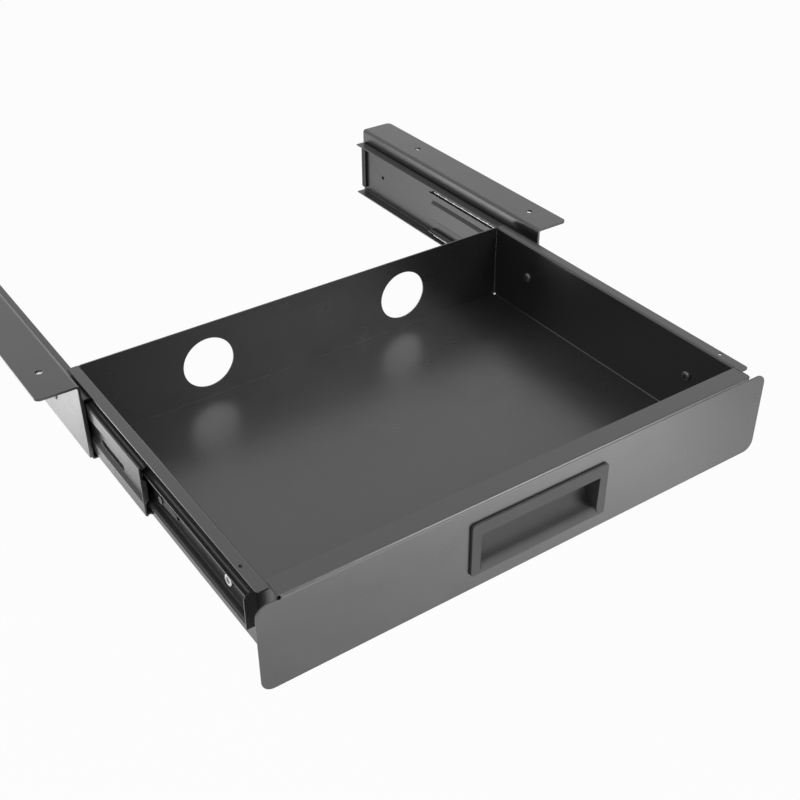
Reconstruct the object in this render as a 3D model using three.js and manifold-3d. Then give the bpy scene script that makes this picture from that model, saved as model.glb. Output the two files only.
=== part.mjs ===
// Pull-out drawer for the underside of a desk top, on two ball-bearing slides and two angle brackets.
// Millimetres, X to the right, Y to the back, Z up. The drawer is modelled fully pulled out.
// The origin lies midway between the two bracket flanges, on the plane of their upper faces.

import * as THREE from 'three';
import { mergeVertices } from 'three/addons/utils/BufferGeometryUtils.js';
import Module from 'manifold-3d';

const wasm = await Module();
wasm.setup();

// Front panel
const panelWidth = 420;
const panelHeight = 70;
const panelCornerRadius = 8.5;
const earDrop = 2;
const drawerSheet = 1.2;
const drawerBendRadius = 2;
const frontRimDepth = 16.5;
const frontBendLap = 12;
const reliefHoleDiameter = 2.4;
const reliefHoleHeight = 68.6;

// Tray behind the panel
const trayLift = 2.5;
const trayInsideLength = 274.5;
const trayCornerRadius = 3;
const sideRimWidth = 9;
const sideRimCornerRadius = 3;
const cornerNotchDepth = 10;
const frontFlangeWidth = 15;
const frontFlangeHeight = 11;
const cableHoleDiameter = 43.3;
const cableHoleSpacing = 184.8;
const rimHoleDiameter = 2.8;
const rimHoleInset = 3.3;
const rimHoleSetback = 35;
const cornerSeam = 0.4;
const cornerReliefDiameter = 2.6;

// Recessed handle
const bezelWidth = 115;
const bezelHeight = 42.5;
const bezelDrop = 1;
const bezelThickness = 2.2;
const bezelCornerRadius = 2.5;
const openingWidth = 100;
const openingHeight = 25.5;
const openingDrop = 2.5;
const cupDepth = 13;
const cupWall = 1.5;
const cupCornerRadius = 1;
const scoopRadius = 9;
const lipRadius = 4;
const cupClearance = 0.3;
const barbHeight = 1.2;
const barbLength = 4;
const barbWidth = 14;
const barbSpacing = 60;

// Angle brackets
const bracketSheet = 2;
const bracketLength = 275;
const bracketDrop = 63;
const bracketCornerRadius = 4.5;
const bracketPlateCornerRadius = 1;
const bracketBendRadius = 3;
const flangeReach = 30;
const flangeHeight = 79;
const mountingHoleDiameter = 5.3;
const mountingHoleSetback = 33;
const mountingHoleSpacing = 170;

// Slides, all three members of one sheet
const slideGap = 13;
const slideLength = 250;
const slideHeight = 39.9;
const slideSetback = 23;
const slideSheet = 1.2;
const slideBendRadius = 1.8;
const outerMemberHeight = 52.8;
const outerMemberDepth = 9.6;
const outerMemberSetback = 1;
const middleMemberHeight = 41.6;
const middleMemberLength = 236;
const middleMemberDepth = 6.9;
const middleWebHeight = 20;
const middleWebStep = 2.8;
const middleWebSlope = 2.4;
const innerMemberHeight = 27.2;
const innerMemberDepth = 7.4;
const grooveDepth = 0.9;
const grooveWidth = 2.4;
const outerTrackDepth = 5.2;
const innerTrackDepth = 8.05;
const endPlateDepth = 8.5;
const endPlateBevel = 2.5;
const slotLength = 38;
const slotHeight = 6;
const slotCornerRadius = 2.4;
const slotSetback = 37;
const slotDrop = 4.2;

// Ball cages
const cageSheet = 0.5;
const cageSideGap = 0.2;
const cageMargin = 7;
const cageLegReach = 2.2;
const ballsPerRow = 4;
const ballGap = 0.3;

// Travel
const travel = 248.5;
const closedLead = 4.3;
const middleTravelShare = 0.468;
const stopGap = 5;

// Fasteners and small parts
const screwDiameter = 4;
const screwHeadDiameter = 8.5;
const screwHeadHeight = 2;
const screwHeadTopDiameter = 5.2;
const screwSocketDiameter = 2.6;
const screwSocketDepth = 1;
const nutDiameter = 8.5;
const nutThickness = 2.5;
const nutChamfer = 0.5;
const holeClearance = 0.3;
const frontScrewSetback = 58.2;
const rearScrewInset = 44.2;
const rivetDiameter = 4;
const rivetHeadDiameter = 8;
const rivetHeadHeight = 1.2;
const rivetInset = 35;
const rivetsPerSide = 3;
const bufferLength = 7;
const bufferThickness = 2.6;
const bufferGap = 0.5;
const leverLength = 24;
const leverEyeRadius = 3.6;
const leverTipHeight = 4;
const leverThickness = 2;
const leverPivotSetback = 152;
const leverGap = 0.3;
const leverRivetDiameter = 3;
const leverRivetHeadDiameter = 5.6;
const leverRivetHeadHeight = 0.5;

// Fineness of round forms
const bendSteps = 4;
const smallCircleSteps = 16;
const cableHoleSteps = 48;
const ballSteps = 8;
const ballRings = 6;
const overrun = 1;

// Sizes that follow from the ones above
const halfPanel = panelWidth / 2;
const trayHalfWidth = halfPanel - bracketSheet - slideGap;
const trayInsideHalf = trayHalfWidth - drawerSheet;
const trayFront = drawerSheet;
const frontWallFront = trayFront + drawerSheet;
const trayInsideBack = frontRimDepth + trayInsideLength;
const trayBack = trayInsideBack + drawerSheet;
const floorTop = trayLift + drawerSheet;
const rearScrewSetback = trayInsideBack - rearScrewInset;
const rimBottom = panelHeight - drawerSheet;
const innerMemberBack = bracketSheet + slideGap;
const outerMemberFace = bracketSheet;
const middleMemberFace = outerMemberFace + slideSheet + cageSheet + 2 * cageSideGap;
const drawerFront = -closedLead - travel;
const innerMemberSetback = slideSetback + closedLead;
const middleMemberFront = slideSetback + slideSheet + stopGap - travel * middleTravelShare;
const middleMemberRear = middleMemberFront + middleMemberLength;
const innerMemberRear = drawerFront + innerMemberSetback + slideLength;

// Colours
const powderCoat = { color: 0x3b3b3d, roughness: 0.5, metalness: 0.35 };
const handlePlastic = { color: 0x2e2e30, roughness: 0.6, metalness: 0 };
const slideCoat = { color: 0x2a2a2c, roughness: 0.3, metalness: 0.6 };
const zinc = { color: 0xc3c6ca, roughness: 0.3, metalness: 0.9 };
const darkZinc = { color: 0x6e7073, roughness: 0.4, metalness: 0.9 };
const steelBalls = { color: 0x9a9da1, roughness: 0.2, metalness: 0.9 };
const blackPlastic = { color: 0x1c1c1e, roughness: 0.55, metalness: 0 };

// Outlines

function point(a, b) {
  return new THREE.Vector2(a, b);
}

function cornerArc(before, corner, after, radius) {
  const back = before.clone().sub(corner).normalize();
  const ahead = after.clone().sub(corner).normalize();
  const halfAngle = back.angleTo(ahead) / 2;
  const reach = radius / Math.tan(halfAngle);
  const toCentre = back.clone().add(ahead).normalize().multiplyScalar(radius / Math.sin(halfAngle));
  const centre = corner.clone().add(toCentre);
  const start = corner.clone().addScaledVector(back, reach).sub(centre);
  const end = corner.clone().addScaledVector(ahead, reach).sub(centre);
  const sweep = Math.atan2(start.cross(end), start.dot(end));
  const arc = [];
  for (let step = 0; step <= bendSteps; step += 1) {
    const turned = start.clone().rotateAround(point(0, 0), (sweep * step) / bendSteps);
    arc.push(turned.add(centre));
  }
  return arc;
}

function roundedLine(points, radii, closed) {
  const count = points.length;
  const line = [];
  points.forEach((corner, index) => {
    const atEnd = !closed && (index === 0 || index === count - 1);
    if (atEnd || !(radii[index] > 0)) {
      line.push(corner.clone());
      return;
    }
    const before = points[(index + count - 1) % count];
    const after = points[(index + 1) % count];
    line.push(...cornerArc(before, corner, after, radii[index]));
  });
  return line;
}

function rectangle(left, right, low, high, radii = [0, 0, 0, 0]) {
  const corners = [point(left, low), point(right, low), point(right, high), point(left, high)];
  return roundedLine(corners, radii, true);
}

function circle(centreA, centreB, radius, steps = smallCircleSteps) {
  const points = [];
  for (let step = 0; step < steps; step += 1) {
    const angle = (2 * Math.PI * step) / steps;
    points.push(point(centreA + radius * Math.cos(angle), centreB + radius * Math.sin(angle)));
  }
  return points;
}

// The outline of a bent sheet: the path is one face, and the sheet lies to the left of it.
function bentSheet(path, thickness, bendRadius) {
  const last = path.length - 1;
  const along = path.slice(1).map((next, index) => next.clone().sub(path[index]).normalize());
  const leftOf = (direction) => point(-direction.y, direction.x);
  const otherFace = path.map((corner, index) => {
    const normal = leftOf(along[Math.max(index - 1, 0)]);
    const nextNormal = leftOf(along[Math.min(index, last - 1)]);
    const mitre = normal.clone().add(nextNormal).normalize();
    return corner.clone().addScaledVector(mitre, thickness / mitre.dot(nextNormal));
  });
  const turnsLeft = path.map((corner, index) => {
    const inside = index > 0 && index < last;
    return inside && along[index - 1].cross(along[index]) > 0;
  });
  const faceRadii = turnsLeft.map((left) => (left ? bendRadius : bendRadius - thickness));
  const otherRadii = turnsLeft.map((left) => (left ? bendRadius - thickness : bendRadius));
  const face = roundedLine(path, faceRadii, false);
  const other = roundedLine(otherFace, otherRadii, false);
  return [...face, ...other.reverse()];
}

// Solids

function extruded(outline, length, acrossA, acrossB, along, start) {
  const settings = { depth: length, bevelEnabled: false };
  const geometry = new THREE.ExtrudeGeometry(new THREE.Shape(outline), settings);
  geometry.applyMatrix4(new THREE.Matrix4().makeBasis(acrossA, acrossB, along));
  geometry.translate(start.x, start.y, start.z);
  return toSolid(geometry);
}

function alongX(outline, low, high) {
  const axes = [new THREE.Vector3(0, 1, 0), new THREE.Vector3(0, 0, 1), new THREE.Vector3(1, 0, 0)];
  return extruded(outline, high - low, ...axes, new THREE.Vector3(low, 0, 0));
}

function alongY(outline, low, high) {
  const axes = [new THREE.Vector3(1, 0, 0), new THREE.Vector3(0, 0, 1), new THREE.Vector3(0, -1, 0)];
  return extruded(outline, high - low, ...axes, new THREE.Vector3(0, high, 0));
}

function alongZ(outline, low, high) {
  const axes = [new THREE.Vector3(1, 0, 0), new THREE.Vector3(0, 1, 0), new THREE.Vector3(0, 0, 1)];
  return extruded(outline, high - low, ...axes, new THREE.Vector3(0, 0, low));
}

// A turned piece: the profile's first value is the radius and its second the place along X.
function turnedAlongX(profile, y, z) {
  const geometry = new THREE.LatheGeometry(profile, smallCircleSteps);
  geometry.rotateZ(-Math.PI / 2);
  geometry.translate(0, y, z);
  return toSolid(geometry);
}

function toSolid(geometry) {
  geometry.deleteAttribute('normal');
  geometry.deleteAttribute('uv');
  const merged = mergeVertices(geometry);
  const vertProperties = new Float32Array(merged.attributes.position.array);
  const triVerts = new Uint32Array(merged.index.array);
  return new wasm.Manifold(new wasm.Mesh({ numProp: 3, vertProperties, triVerts }));
}

function cutAll(body, tools) {
  return tools.reduce((rest, tool) => rest.subtract(tool), body);
}

function joinAll(bodies) {
  return bodies.reduce((whole, body) => whole.add(body));
}

function meshOf(name, body, finish, mirrored = false) {
  const { vertProperties, triVerts } = body.getMesh();
  const geometry = new THREE.BufferGeometry();
  geometry.setAttribute('position', new THREE.BufferAttribute(vertProperties.slice(), 3));
  const index = Array.from(triVerts);
  if (mirrored) {
    geometry.scale(-1, 1, 1);
    index.reverse();
  }
  geometry.setIndex(index);
  const faceted = geometry.toNonIndexed();
  faceted.computeVertexNormals();
  const mesh = new THREE.Mesh(faceted, new THREE.MeshStandardMaterial(finish));
  mesh.name = name;
  return mesh;
}

// Drawer tray: floor, side walls with outward rims, back wall with the cable holes, front flanges

function trayOutline(halfWidth, front, back, frontRadius) {
  return rectangle(-halfWidth, halfWidth, front, back, [frontRadius, frontRadius, 0, 0]);
}

function sideRim(side) {
  const inner = side * trayInsideHalf;
  const outer = side * (trayInsideHalf + sideRimWidth);
  const left = Math.min(inner, outer);
  const right = Math.max(inner, outer);
  const radii = side < 0 ? [sideRimCornerRadius, 0, 0, 0] : [0, sideRimCornerRadius, 0, 0];
  return alongZ(rectangle(left, right, cornerNotchDepth, trayBack, radii), rimBottom, panelHeight);
}

function trayCutsAtSide(side) {
  const rimHoleX = side * (trayInsideHalf + sideRimWidth - rimHoleInset);
  const rimHole = circle(rimHoleX, rimHoleSetback, rimHoleDiameter / 2);
  const seamX = side * (trayInsideHalf - cornerSeam / 2);
  const seam = rectangle(seamX - cornerSeam / 2, seamX + cornerSeam / 2, floorTop, panelHeight + overrun);
  const reliefRadius = cornerReliefDiameter / 2;
  const reliefInset = reliefRadius / 2;
  const relief = circle(side * (trayInsideHalf - reliefInset), trayInsideBack - reliefInset, reliefRadius);
  const cableHoleX = (side * cableHoleSpacing) / 2;
  const cableHole = circle(cableHoleX, panelHeight / 2, cableHoleDiameter / 2, cableHoleSteps);
  const cuts = [
    alongZ(rimHole, rimBottom - overrun, panelHeight + overrun),
    alongY(seam, trayInsideBack - cornerSeam, trayBack + overrun),
    alongZ(relief, trayLift - overrun, floorTop + reliefInset),
    alongY(cableHole, trayInsideBack - overrun, trayBack + overrun),
  ];
  const wallFrom = side < 0 ? -trayHalfWidth - overrun : trayInsideHalf - overrun;
  const wallTo = wallFrom + drawerSheet + 2 * overrun;
  for (const setback of [frontScrewSetback, rearScrewSetback]) {
    cuts.push(alongX(circle(setback, slideHeight, screwDiameter / 2 + holeClearance), wallFrom, wallTo));
  }
  return cuts;
}

function drawerTray() {
  const outside = trayOutline(trayHalfWidth, trayFront, trayBack, trayCornerRadius);
  const insideRadius = trayCornerRadius - drawerSheet;
  const inside = trayOutline(trayInsideHalf, frontWallFront, trayInsideBack, insideRadius);
  const windowHalf = trayHalfWidth - frontFlangeWidth;
  const windowLow = floorTop + frontFlangeHeight;
  const frontWindow = rectangle(-windowHalf, windowHalf, windowLow, panelHeight + overrun);
  const rimSeat = rectangle(-trayInsideHalf, trayInsideHalf, trayFront - overrun, frontRimDepth);
  const bendRoom = rimBottom - drawerBendRadius;
  const shell = cutAll(alongZ(outside, trayLift, panelHeight), [
    alongZ(inside, floorTop, panelHeight + overrun),
    alongY(frontWindow, trayFront - overrun, frontWallFront + overrun),
    alongZ(rimSeat, bendRoom, panelHeight + overrun),
  ]);
  const withRims = joinAll([shell, sideRim(-1), sideRim(1)]);
  return cutAll(withRims, [...trayCutsAtSide(-1), ...trayCutsAtSide(1)]);
}

// Front panel: the face with its two ears, bent back into the front rim and down into the front wall

function frontPanel() {
  const earTop = panelHeight - earDrop;
  const cornerRadii = [panelCornerRadius, panelCornerRadius, panelCornerRadius, panelCornerRadius];
  const face = alongY(rectangle(-halfPanel, halfPanel, 0, earTop, cornerRadii), 0, drawerSheet);
  const bendPath = [
    point(frontRimDepth, panelHeight),
    point(0, panelHeight),
    point(0, panelHeight - frontBendLap),
  ];
  const rim = alongX(bentSheet(bendPath, drawerSheet, drawerBendRadius), -trayInsideHalf, trayInsideHalf);
  const wallPath = [
    point(frontRimDepth, floorTop),
    point(frontRimDepth, panelHeight - drawerSheet / 2),
  ];
  const wall = alongX(bentSheet(wallPath, drawerSheet, 0), -trayInsideHalf, trayInsideHalf);
  const cuts = [-1, 1].map((side) => {
    const hole = circle(side * trayInsideHalf, reliefHoleHeight, reliefHoleDiameter / 2);
    return alongY(hole, -overrun, drawerSheet + overrun);
  });
  cuts.push(alongY(cupOutline(cupWall + cupClearance), -overrun, drawerSheet + overrun));
  return cutAll(joinAll([face, rim, wall]), cuts);
}

// Recessed handle: a raised bezel and the cup behind it, one moulding held by barbs behind the panel

function cupOutline(margin) {
  const centre = panelHeight / 2 - openingDrop;
  const halfWidth = openingWidth / 2 + margin;
  const halfHeight = openingHeight / 2 + margin;
  const radii = [cupCornerRadius, cupCornerRadius, cupCornerRadius, cupCornerRadius];
  return rectangle(-halfWidth, halfWidth, centre - halfHeight, centre + halfHeight, radii);
}

function handleBarb(x, side) {
  const centre = panelHeight / 2 - openingDrop;
  const wall = centre + side * (openingHeight / 2 + cupWall);
  const sunk = wall - (side * cupWall) / 2;
  const proud = wall + side * barbHeight;
  const front = drawerSheet + cupClearance;
  const wedge = [
    point(front, sunk),
    point(front, proud),
    point(front + barbLength, wall),
    point(front + barbLength, sunk),
  ];
  return alongX(wedge, x - barbWidth / 2, x + barbWidth / 2);
}

// The pocket's section: a rounded lower lip, a wide scoop from the floor to the back, a small upper round.
function pocketSection() {
  const centre = panelHeight / 2 - openingDrop;
  const low = centre - openingHeight / 2;
  const high = centre + openingHeight / 2;
  const back = cupDepth - cupWall;
  const mouthLow = point(-bezelThickness, low);
  const backLow = point(back, low);
  const backHigh = point(back, high);
  return [
    point(-bezelThickness - overrun, high),
    point(-bezelThickness - overrun, low - lipRadius),
    ...cornerArc(point(-bezelThickness, low - lipRadius), mouthLow, backLow, lipRadius),
    ...cornerArc(mouthLow, backLow, backHigh, scoopRadius),
    ...cornerArc(backLow, backHigh, point(-bezelThickness, high), cupCornerRadius),
  ];
}

function cupSection() {
  const centre = panelHeight / 2 - openingDrop;
  const low = centre - openingHeight / 2 - cupWall;
  const high = centre + openingHeight / 2 + cupWall;
  const radii = [0, scoopRadius + cupWall, cupCornerRadius, 0];
  return rectangle(-bezelThickness / 2, cupDepth, low, high, radii);
}

function handleCup() {
  const bezelHalf = bezelWidth / 2;
  const bezelLow = panelHeight / 2 - bezelDrop - bezelHeight / 2;
  const radii = Array(4).fill(bezelCornerRadius);
  const bezelOutline = rectangle(-bezelHalf, bezelHalf, bezelLow, bezelLow + bezelHeight, radii);
  const bezel = alongY(bezelOutline, -bezelThickness, 0);
  const halfOpening = openingWidth / 2;
  const cupBlock = alongY(cupOutline(cupWall), -bezelThickness / 2, cupDepth);
  const cup = cupBlock.intersect(alongX(cupSection(), -bezelHalf, bezelHalf));
  const pocket = alongX(pocketSection(), -halfOpening, halfOpening);
  const barbs = [-1, 1].flatMap((side) => [-1, 1].map((end) => handleBarb((end * barbSpacing) / 2, side)));
  return joinAll([bezel, cup, ...barbs]).subtract(pocket);
}

// Pieces of one side, in a frame whose X runs inwards from the bracket's outer face

function bracket() {
  const path = [
    point(bracketSheet, flangeHeight - bracketDrop),
    point(bracketSheet, flangeHeight),
    point(-flangeReach, flangeHeight),
  ];
  const angle = alongY(bentSheet(path, bracketSheet, bracketBendRadius), 0, bracketLength);
  const planRadii = [bracketCornerRadius, 0, 0, bracketCornerRadius];
  const plan = rectangle(-flangeReach, bracketSheet, 0, bracketLength, planRadii);
  const sideRadii = [bracketPlateCornerRadius, bracketPlateCornerRadius, 0, 0];
  const elevation = rectangle(0, bracketLength, flangeHeight - bracketDrop, flangeHeight, sideRadii);
  const trimmed = angle
    .intersect(alongZ(plan, flangeHeight - bracketDrop - overrun, flangeHeight + overrun))
    .intersect(alongX(elevation, -flangeReach - overrun, bracketSheet + overrun));
  const cuts = [0, 1].map((step) => {
    const y = mountingHoleSetback + step * mountingHoleSpacing;
    const hole = circle(-flangeReach / 2, y, mountingHoleDiameter / 2);
    return alongZ(hole, flangeHeight - bracketSheet - overrun, flangeHeight + overrun);
  });
  return cutAll(trimmed, [...cuts, ...rivetHoles()]);
}

function rivetPlaces() {
  const first = slideSetback + rivetInset;
  const spacing = (slideLength - 2 * rivetInset) / (rivetsPerSide - 1);
  return Array.from({ length: rivetsPerSide }, (unused, index) => first + index * spacing);
}

function rivetHoles() {
  const radius = rivetDiameter / 2 + holeClearance;
  const inner = bracketSheet + slideSheet + overrun;
  return rivetPlaces().map((y) => alongX(circle(y, slideHeight, radius), -overrun, inner));
}

function channelOutline(face, depth, height) {
  const path = [
    point(face + depth, slideHeight + height / 2),
    point(face, slideHeight + height / 2),
    point(face, slideHeight - height / 2),
    point(face + depth, slideHeight - height / 2),
  ];
  return bentSheet(path, slideSheet, slideBendRadius);
}

function outerMember() {
  const outline = channelOutline(outerMemberFace, outerMemberDepth, outerMemberHeight);
  return cutAll(alongY(outline, outerMemberSetback, slideSetback + slideLength), rivetHoles());
}

// One flange with its ball groove, listed from the free edge to the web.
function groovedFlange(edge, web, grooveCentre, height, side) {
  const toWeb = Math.sign(web - edge);
  const level = slideHeight + side * height;
  const bottom = level - side * grooveDepth;
  return [
    point(edge, level),
    point(grooveCentre - (toWeb * grooveWidth) / 2, level),
    point(grooveCentre - (toWeb * grooveWidth) / 4, bottom),
    point(grooveCentre + (toWeb * grooveWidth) / 4, bottom),
    point(grooveCentre + (toWeb * grooveWidth) / 2, level),
    point(web, level),
  ];
}

function middleMember() {
  const edge = middleMemberFace + middleMemberDepth;
  const groove = outerMemberFace + outerTrackDepth;
  const half = middleMemberHeight / 2;
  const webHalf = middleWebHeight / 2;
  const web = middleMemberFace + middleWebStep;
  const path = [
    ...groovedFlange(edge, middleMemberFace, groove, half, 1),
    point(middleMemberFace, slideHeight + webHalf),
    point(web, slideHeight + webHalf - middleWebSlope),
    point(web, slideHeight - webHalf + middleWebSlope),
    point(middleMemberFace, slideHeight - webHalf),
    ...groovedFlange(edge, middleMemberFace, groove, half, -1).reverse(),
  ];
  const bar = alongY(bentSheet(path, slideSheet, slideSheet), middleMemberFront, middleMemberRear);
  const slotFront = middleMemberFront + slotSetback;
  const slotLow = slideHeight - slotDrop - slotHeight / 2;
  const slotRadii = Array(4).fill(slotCornerRadius);
  const slot = rectangle(slotFront, slotFront + slotLength, slotLow, slotLow + slotHeight, slotRadii);
  const lugLow = slideHeight - webHalf + slideSheet;
  const lugHigh = slideHeight + webHalf - slideSheet;
  const lugOutline = rectangle(middleMemberFace, web + slideSheet / 2, lugLow, lugHigh);
  const lug = alongY(lugOutline, middleMemberFront, middleMemberFront + slideSheet);
  return bar.add(lug).subtract(alongX(slot, middleMemberFace - overrun, edge + overrun));
}

function innerMember() {
  const edge = innerMemberBack - innerMemberDepth;
  const groove = outerMemberFace + innerTrackDepth;
  const half = innerMemberHeight / 2;
  const path = [
    ...groovedFlange(edge, innerMemberBack, groove, half, -1),
    ...groovedFlange(edge, innerMemberBack, groove, half, 1).reverse(),
  ];
  const front = innerMemberSetback;
  const bar = alongY(bentSheet(path, slideSheet, slideBendRadius), front, front + slideLength);
  const plateEdge = innerMemberBack - endPlateDepth;
  const plateCorners = [
    point(plateEdge, slideHeight - half),
    point(innerMemberBack, slideHeight - half),
    point(innerMemberBack, slideHeight + half),
    point(plateEdge + endPlateBevel, slideHeight + half),
    point(plateEdge, slideHeight + half - endPlateBevel),
  ];
  const endPlate = alongY(plateCorners, front, front + slideSheet);
  const webLow = innerMemberBack - slideSheet - overrun;
  const webHigh = innerMemberBack + overrun;
  const screwRadius = screwDiameter / 2 + holeClearance;
  const cuts = [frontScrewSetback, rearScrewSetback].map(
    (y) => alongX(circle(y, slideHeight, screwRadius), webLow, webHigh));
  const leverRadius = leverRivetDiameter / 2 + holeClearance;
  cuts.push(alongX(circle(leverPivotSetback, slideHeight, leverRadius), webLow, webHigh));
  return cutAll(bar.add(endPlate), cuts);
}

// Ball cages: a thin bent strip whose legs hold a row of balls above and below

function cageWithBalls(path, low, high, ballX, ballRise, ballRadius) {
  const bodies = [alongY(bentSheet(path, cageSheet, 0), low, high)];
  const pitch = (high - low) / ballsPerRow;
  for (const side of [-1, 1]) {
    for (let index = 0; index < ballsPerRow; index += 1) {
      const ball = new THREE.SphereGeometry(ballRadius, ballSteps, ballRings);
      ball.translate(ballX, low + pitch * (index + 1 / 2), slideHeight + side * ballRise);
      bodies.push(toSolid(ball));
    }
  }
  return joinAll(bodies);
}

function outerCage() {
  const trackLow = middleMemberHeight / 2 - grooveDepth;
  const trackHigh = outerMemberHeight / 2 - slideSheet;
  const ballRadius = (trackHigh - trackLow) / 2 - ballGap;
  const rise = (trackHigh + trackLow) / 2;
  const legRise = rise + cageSheet / 2;
  const face = outerMemberFace + slideSheet + cageSideGap;
  const ballX = outerMemberFace + outerTrackDepth;
  const legEnd = ballX + cageLegReach;
  const path = [
    point(legEnd, slideHeight + legRise),
    point(face, slideHeight + legRise),
    point(face, slideHeight - legRise),
    point(legEnd, slideHeight - legRise),
  ];
  const low = slideSetback + cageMargin;
  const high = middleMemberRear - cageMargin;
  return cageWithBalls(path, low, high, ballX, rise, ballRadius);
}

function innerCage() {
  const trackLow = innerMemberHeight / 2 - grooveDepth;
  const trackHigh = middleMemberHeight / 2 - slideSheet;
  const ballRadius = (trackHigh - trackLow) / 2 - ballGap;
  const rise = (trackHigh + trackLow) / 2;
  const legRise = rise + cageSheet / 2;
  const face = middleMemberFace + slideSheet + cageSideGap;
  const hatFace = middleMemberFace + middleWebStep + slideSheet + cageSideGap;
  const hatRise = middleWebHeight / 2 + slideSheet;
  const ballX = outerMemberFace + innerTrackDepth;
  const legEnd = ballX + cageLegReach;
  const path = [
    point(legEnd, slideHeight + legRise),
    point(face, slideHeight + legRise),
    point(face, slideHeight + hatRise),
    point(hatFace, slideHeight + hatRise),
    point(hatFace, slideHeight - hatRise),
    point(face, slideHeight - hatRise),
    point(face, slideHeight - legRise),
    point(legEnd, slideHeight - legRise),
  ];
  const low = middleMemberFront + cageMargin;
  const high = innerMemberRear - cageMargin;
  return cageWithBalls(path, low, high, ballX, rise, ballRadius);
}

// Fasteners and small parts of one side

function slideScrew(y) {
  const wallFace = innerMemberBack + drawerSheet;
  const top = wallFace + screwHeadHeight;
  const tip = innerMemberBack - slideSheet - nutThickness;
  const profile = [
    point(0, tip),
    point(screwDiameter / 2, tip),
    point(screwDiameter / 2, wallFace),
    point(screwHeadDiameter / 2, wallFace),
    point(screwHeadDiameter / 2, wallFace + screwHeadHeight / 2),
    point(screwHeadTopDiameter / 2, top),
    point(screwSocketDiameter / 2, top),
    point(screwSocketDiameter / 2, top - screwSocketDepth),
    point(0, top - screwSocketDepth),
  ];
  return turnedAlongX(profile, y, slideHeight);
}

function clinchNut(y) {
  const seat = innerMemberBack - slideSheet;
  const face = seat - nutThickness;
  const bore = screwDiameter / 2 + holeClearance;
  const rim = nutDiameter / 2;
  const profile = [
    point(bore, face),
    point(rim - nutChamfer, face),
    point(rim, face + nutChamfer),
    point(rim, seat),
    point(bore, seat),
    point(bore, face),
  ];
  return turnedAlongX(profile, y, slideHeight);
}

function bracketRivet(y) {
  const shank = rivetDiameter / 2;
  const profile = [
    point(0, -rivetHeadHeight),
    point(rivetHeadDiameter / 4, -rivetHeadHeight),
    point(rivetHeadDiameter / 2, -rivetHeadHeight / 3),
    point(rivetHeadDiameter / 2, 0),
    point(shank, 0),
    point(shank, bracketSheet + slideSheet),
    point(0, bracketSheet + slideSheet),
  ];
  return turnedAlongX(profile, y, slideHeight);
}

function closingBuffer() {
  const face = outerMemberFace + slideSheet;
  const half = middleMemberHeight / 2;
  const rear = slideSetback + slideLength;
  const front = rear - bufferLength + bufferGap;
  const radii = Array(4).fill(bufferThickness / 2);
  const outline = rectangle(front, rear, slideHeight - half, slideHeight + half, radii);
  return alongX(outline, face, face + bufferThickness);
}

function releaseLever() {
  const outerFace = innerMemberBack - slideSheet - leverGap;
  const innerFace = outerFace - leverThickness;
  const tip = leverPivotSetback - leverLength;
  const corners = [
    point(tip, slideHeight - leverTipHeight / 2),
    point(leverPivotSetback, slideHeight - leverEyeRadius),
    point(leverPivotSetback, slideHeight + leverEyeRadius),
    point(tip, slideHeight + leverTipHeight / 2),
  ];
  const tipRadius = leverTipHeight / 3;
  const armOutline = roundedLine(corners, [tipRadius, 0, 0, tipRadius], true);
  const arm = alongX(armOutline, innerFace, outerFace);
  const eye = alongX(circle(leverPivotSetback, slideHeight, leverEyeRadius), innerFace, outerFace);
  const boreRadius = leverRivetDiameter / 2 + leverGap;
  const bore = circle(leverPivotSetback, slideHeight, boreRadius);
  return arm.add(eye).subtract(alongX(bore, innerFace - overrun, outerFace + overrun));
}

function leverRivet() {
  const seat = innerMemberBack - slideSheet - leverThickness - 2 * leverGap;
  const profile = [
    point(0, seat - leverRivetHeadHeight),
    point(leverRivetHeadDiameter / 2, seat - leverRivetHeadHeight),
    point(leverRivetHeadDiameter / 2, seat),
    point(leverRivetDiameter / 2, seat),
    point(leverRivetDiameter / 2, innerMemberBack),
    point(0, innerMemberBack),
  ];
  return turnedAlongX(profile, leverPivotSetback, slideHeight);
}

// Assembly

function fixedPieces(side, mirrored) {
  const group = new THREE.Group();
  const add = (name, body, finish) => group.add(meshOf(`${side}_${name}`, body, finish, mirrored));
  add('bracket', bracket(), powderCoat);
  add('cabinet_slide_member', outerMember(), slideCoat);
  add('middle_slide_member', middleMember(), slideCoat);
  add('outer_ball_cage', outerCage(), steelBalls);
  add('inner_ball_cage', innerCage(), steelBalls);
  add('closing_buffer', closingBuffer(), blackPlastic);
  rivetPlaces().forEach((y, index) => add(`bracket_rivet_${index + 1}`, bracketRivet(y), powderCoat));
  return group;
}

function drawerSidePieces(side, mirrored) {
  const group = new THREE.Group();
  const add = (name, body, finish) => group.add(meshOf(`${side}_${name}`, body, finish, mirrored));
  add('drawer_slide_member', innerMember(), slideCoat);
  add('release_lever', releaseLever(), blackPlastic);
  add('lever_rivet', leverRivet(), zinc);
  add('front_slide_screw', slideScrew(frontScrewSetback), darkZinc);
  add('rear_slide_screw', slideScrew(rearScrewSetback), darkZinc);
  add('front_clinch_nut', clinchNut(frontScrewSetback), zinc);
  add('rear_clinch_nut', clinchNut(rearScrewSetback), zinc);
  return group;
}

const drawerGroup = new THREE.Group();
drawerGroup.position.y = drawerFront;
drawerGroup.add(meshOf('drawer_tray', drawerTray(), powderCoat));
drawerGroup.add(meshOf('front_panel', frontPanel(), powderCoat));
drawerGroup.add(meshOf('handle_cup', handleCup(), handlePlastic));

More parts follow.
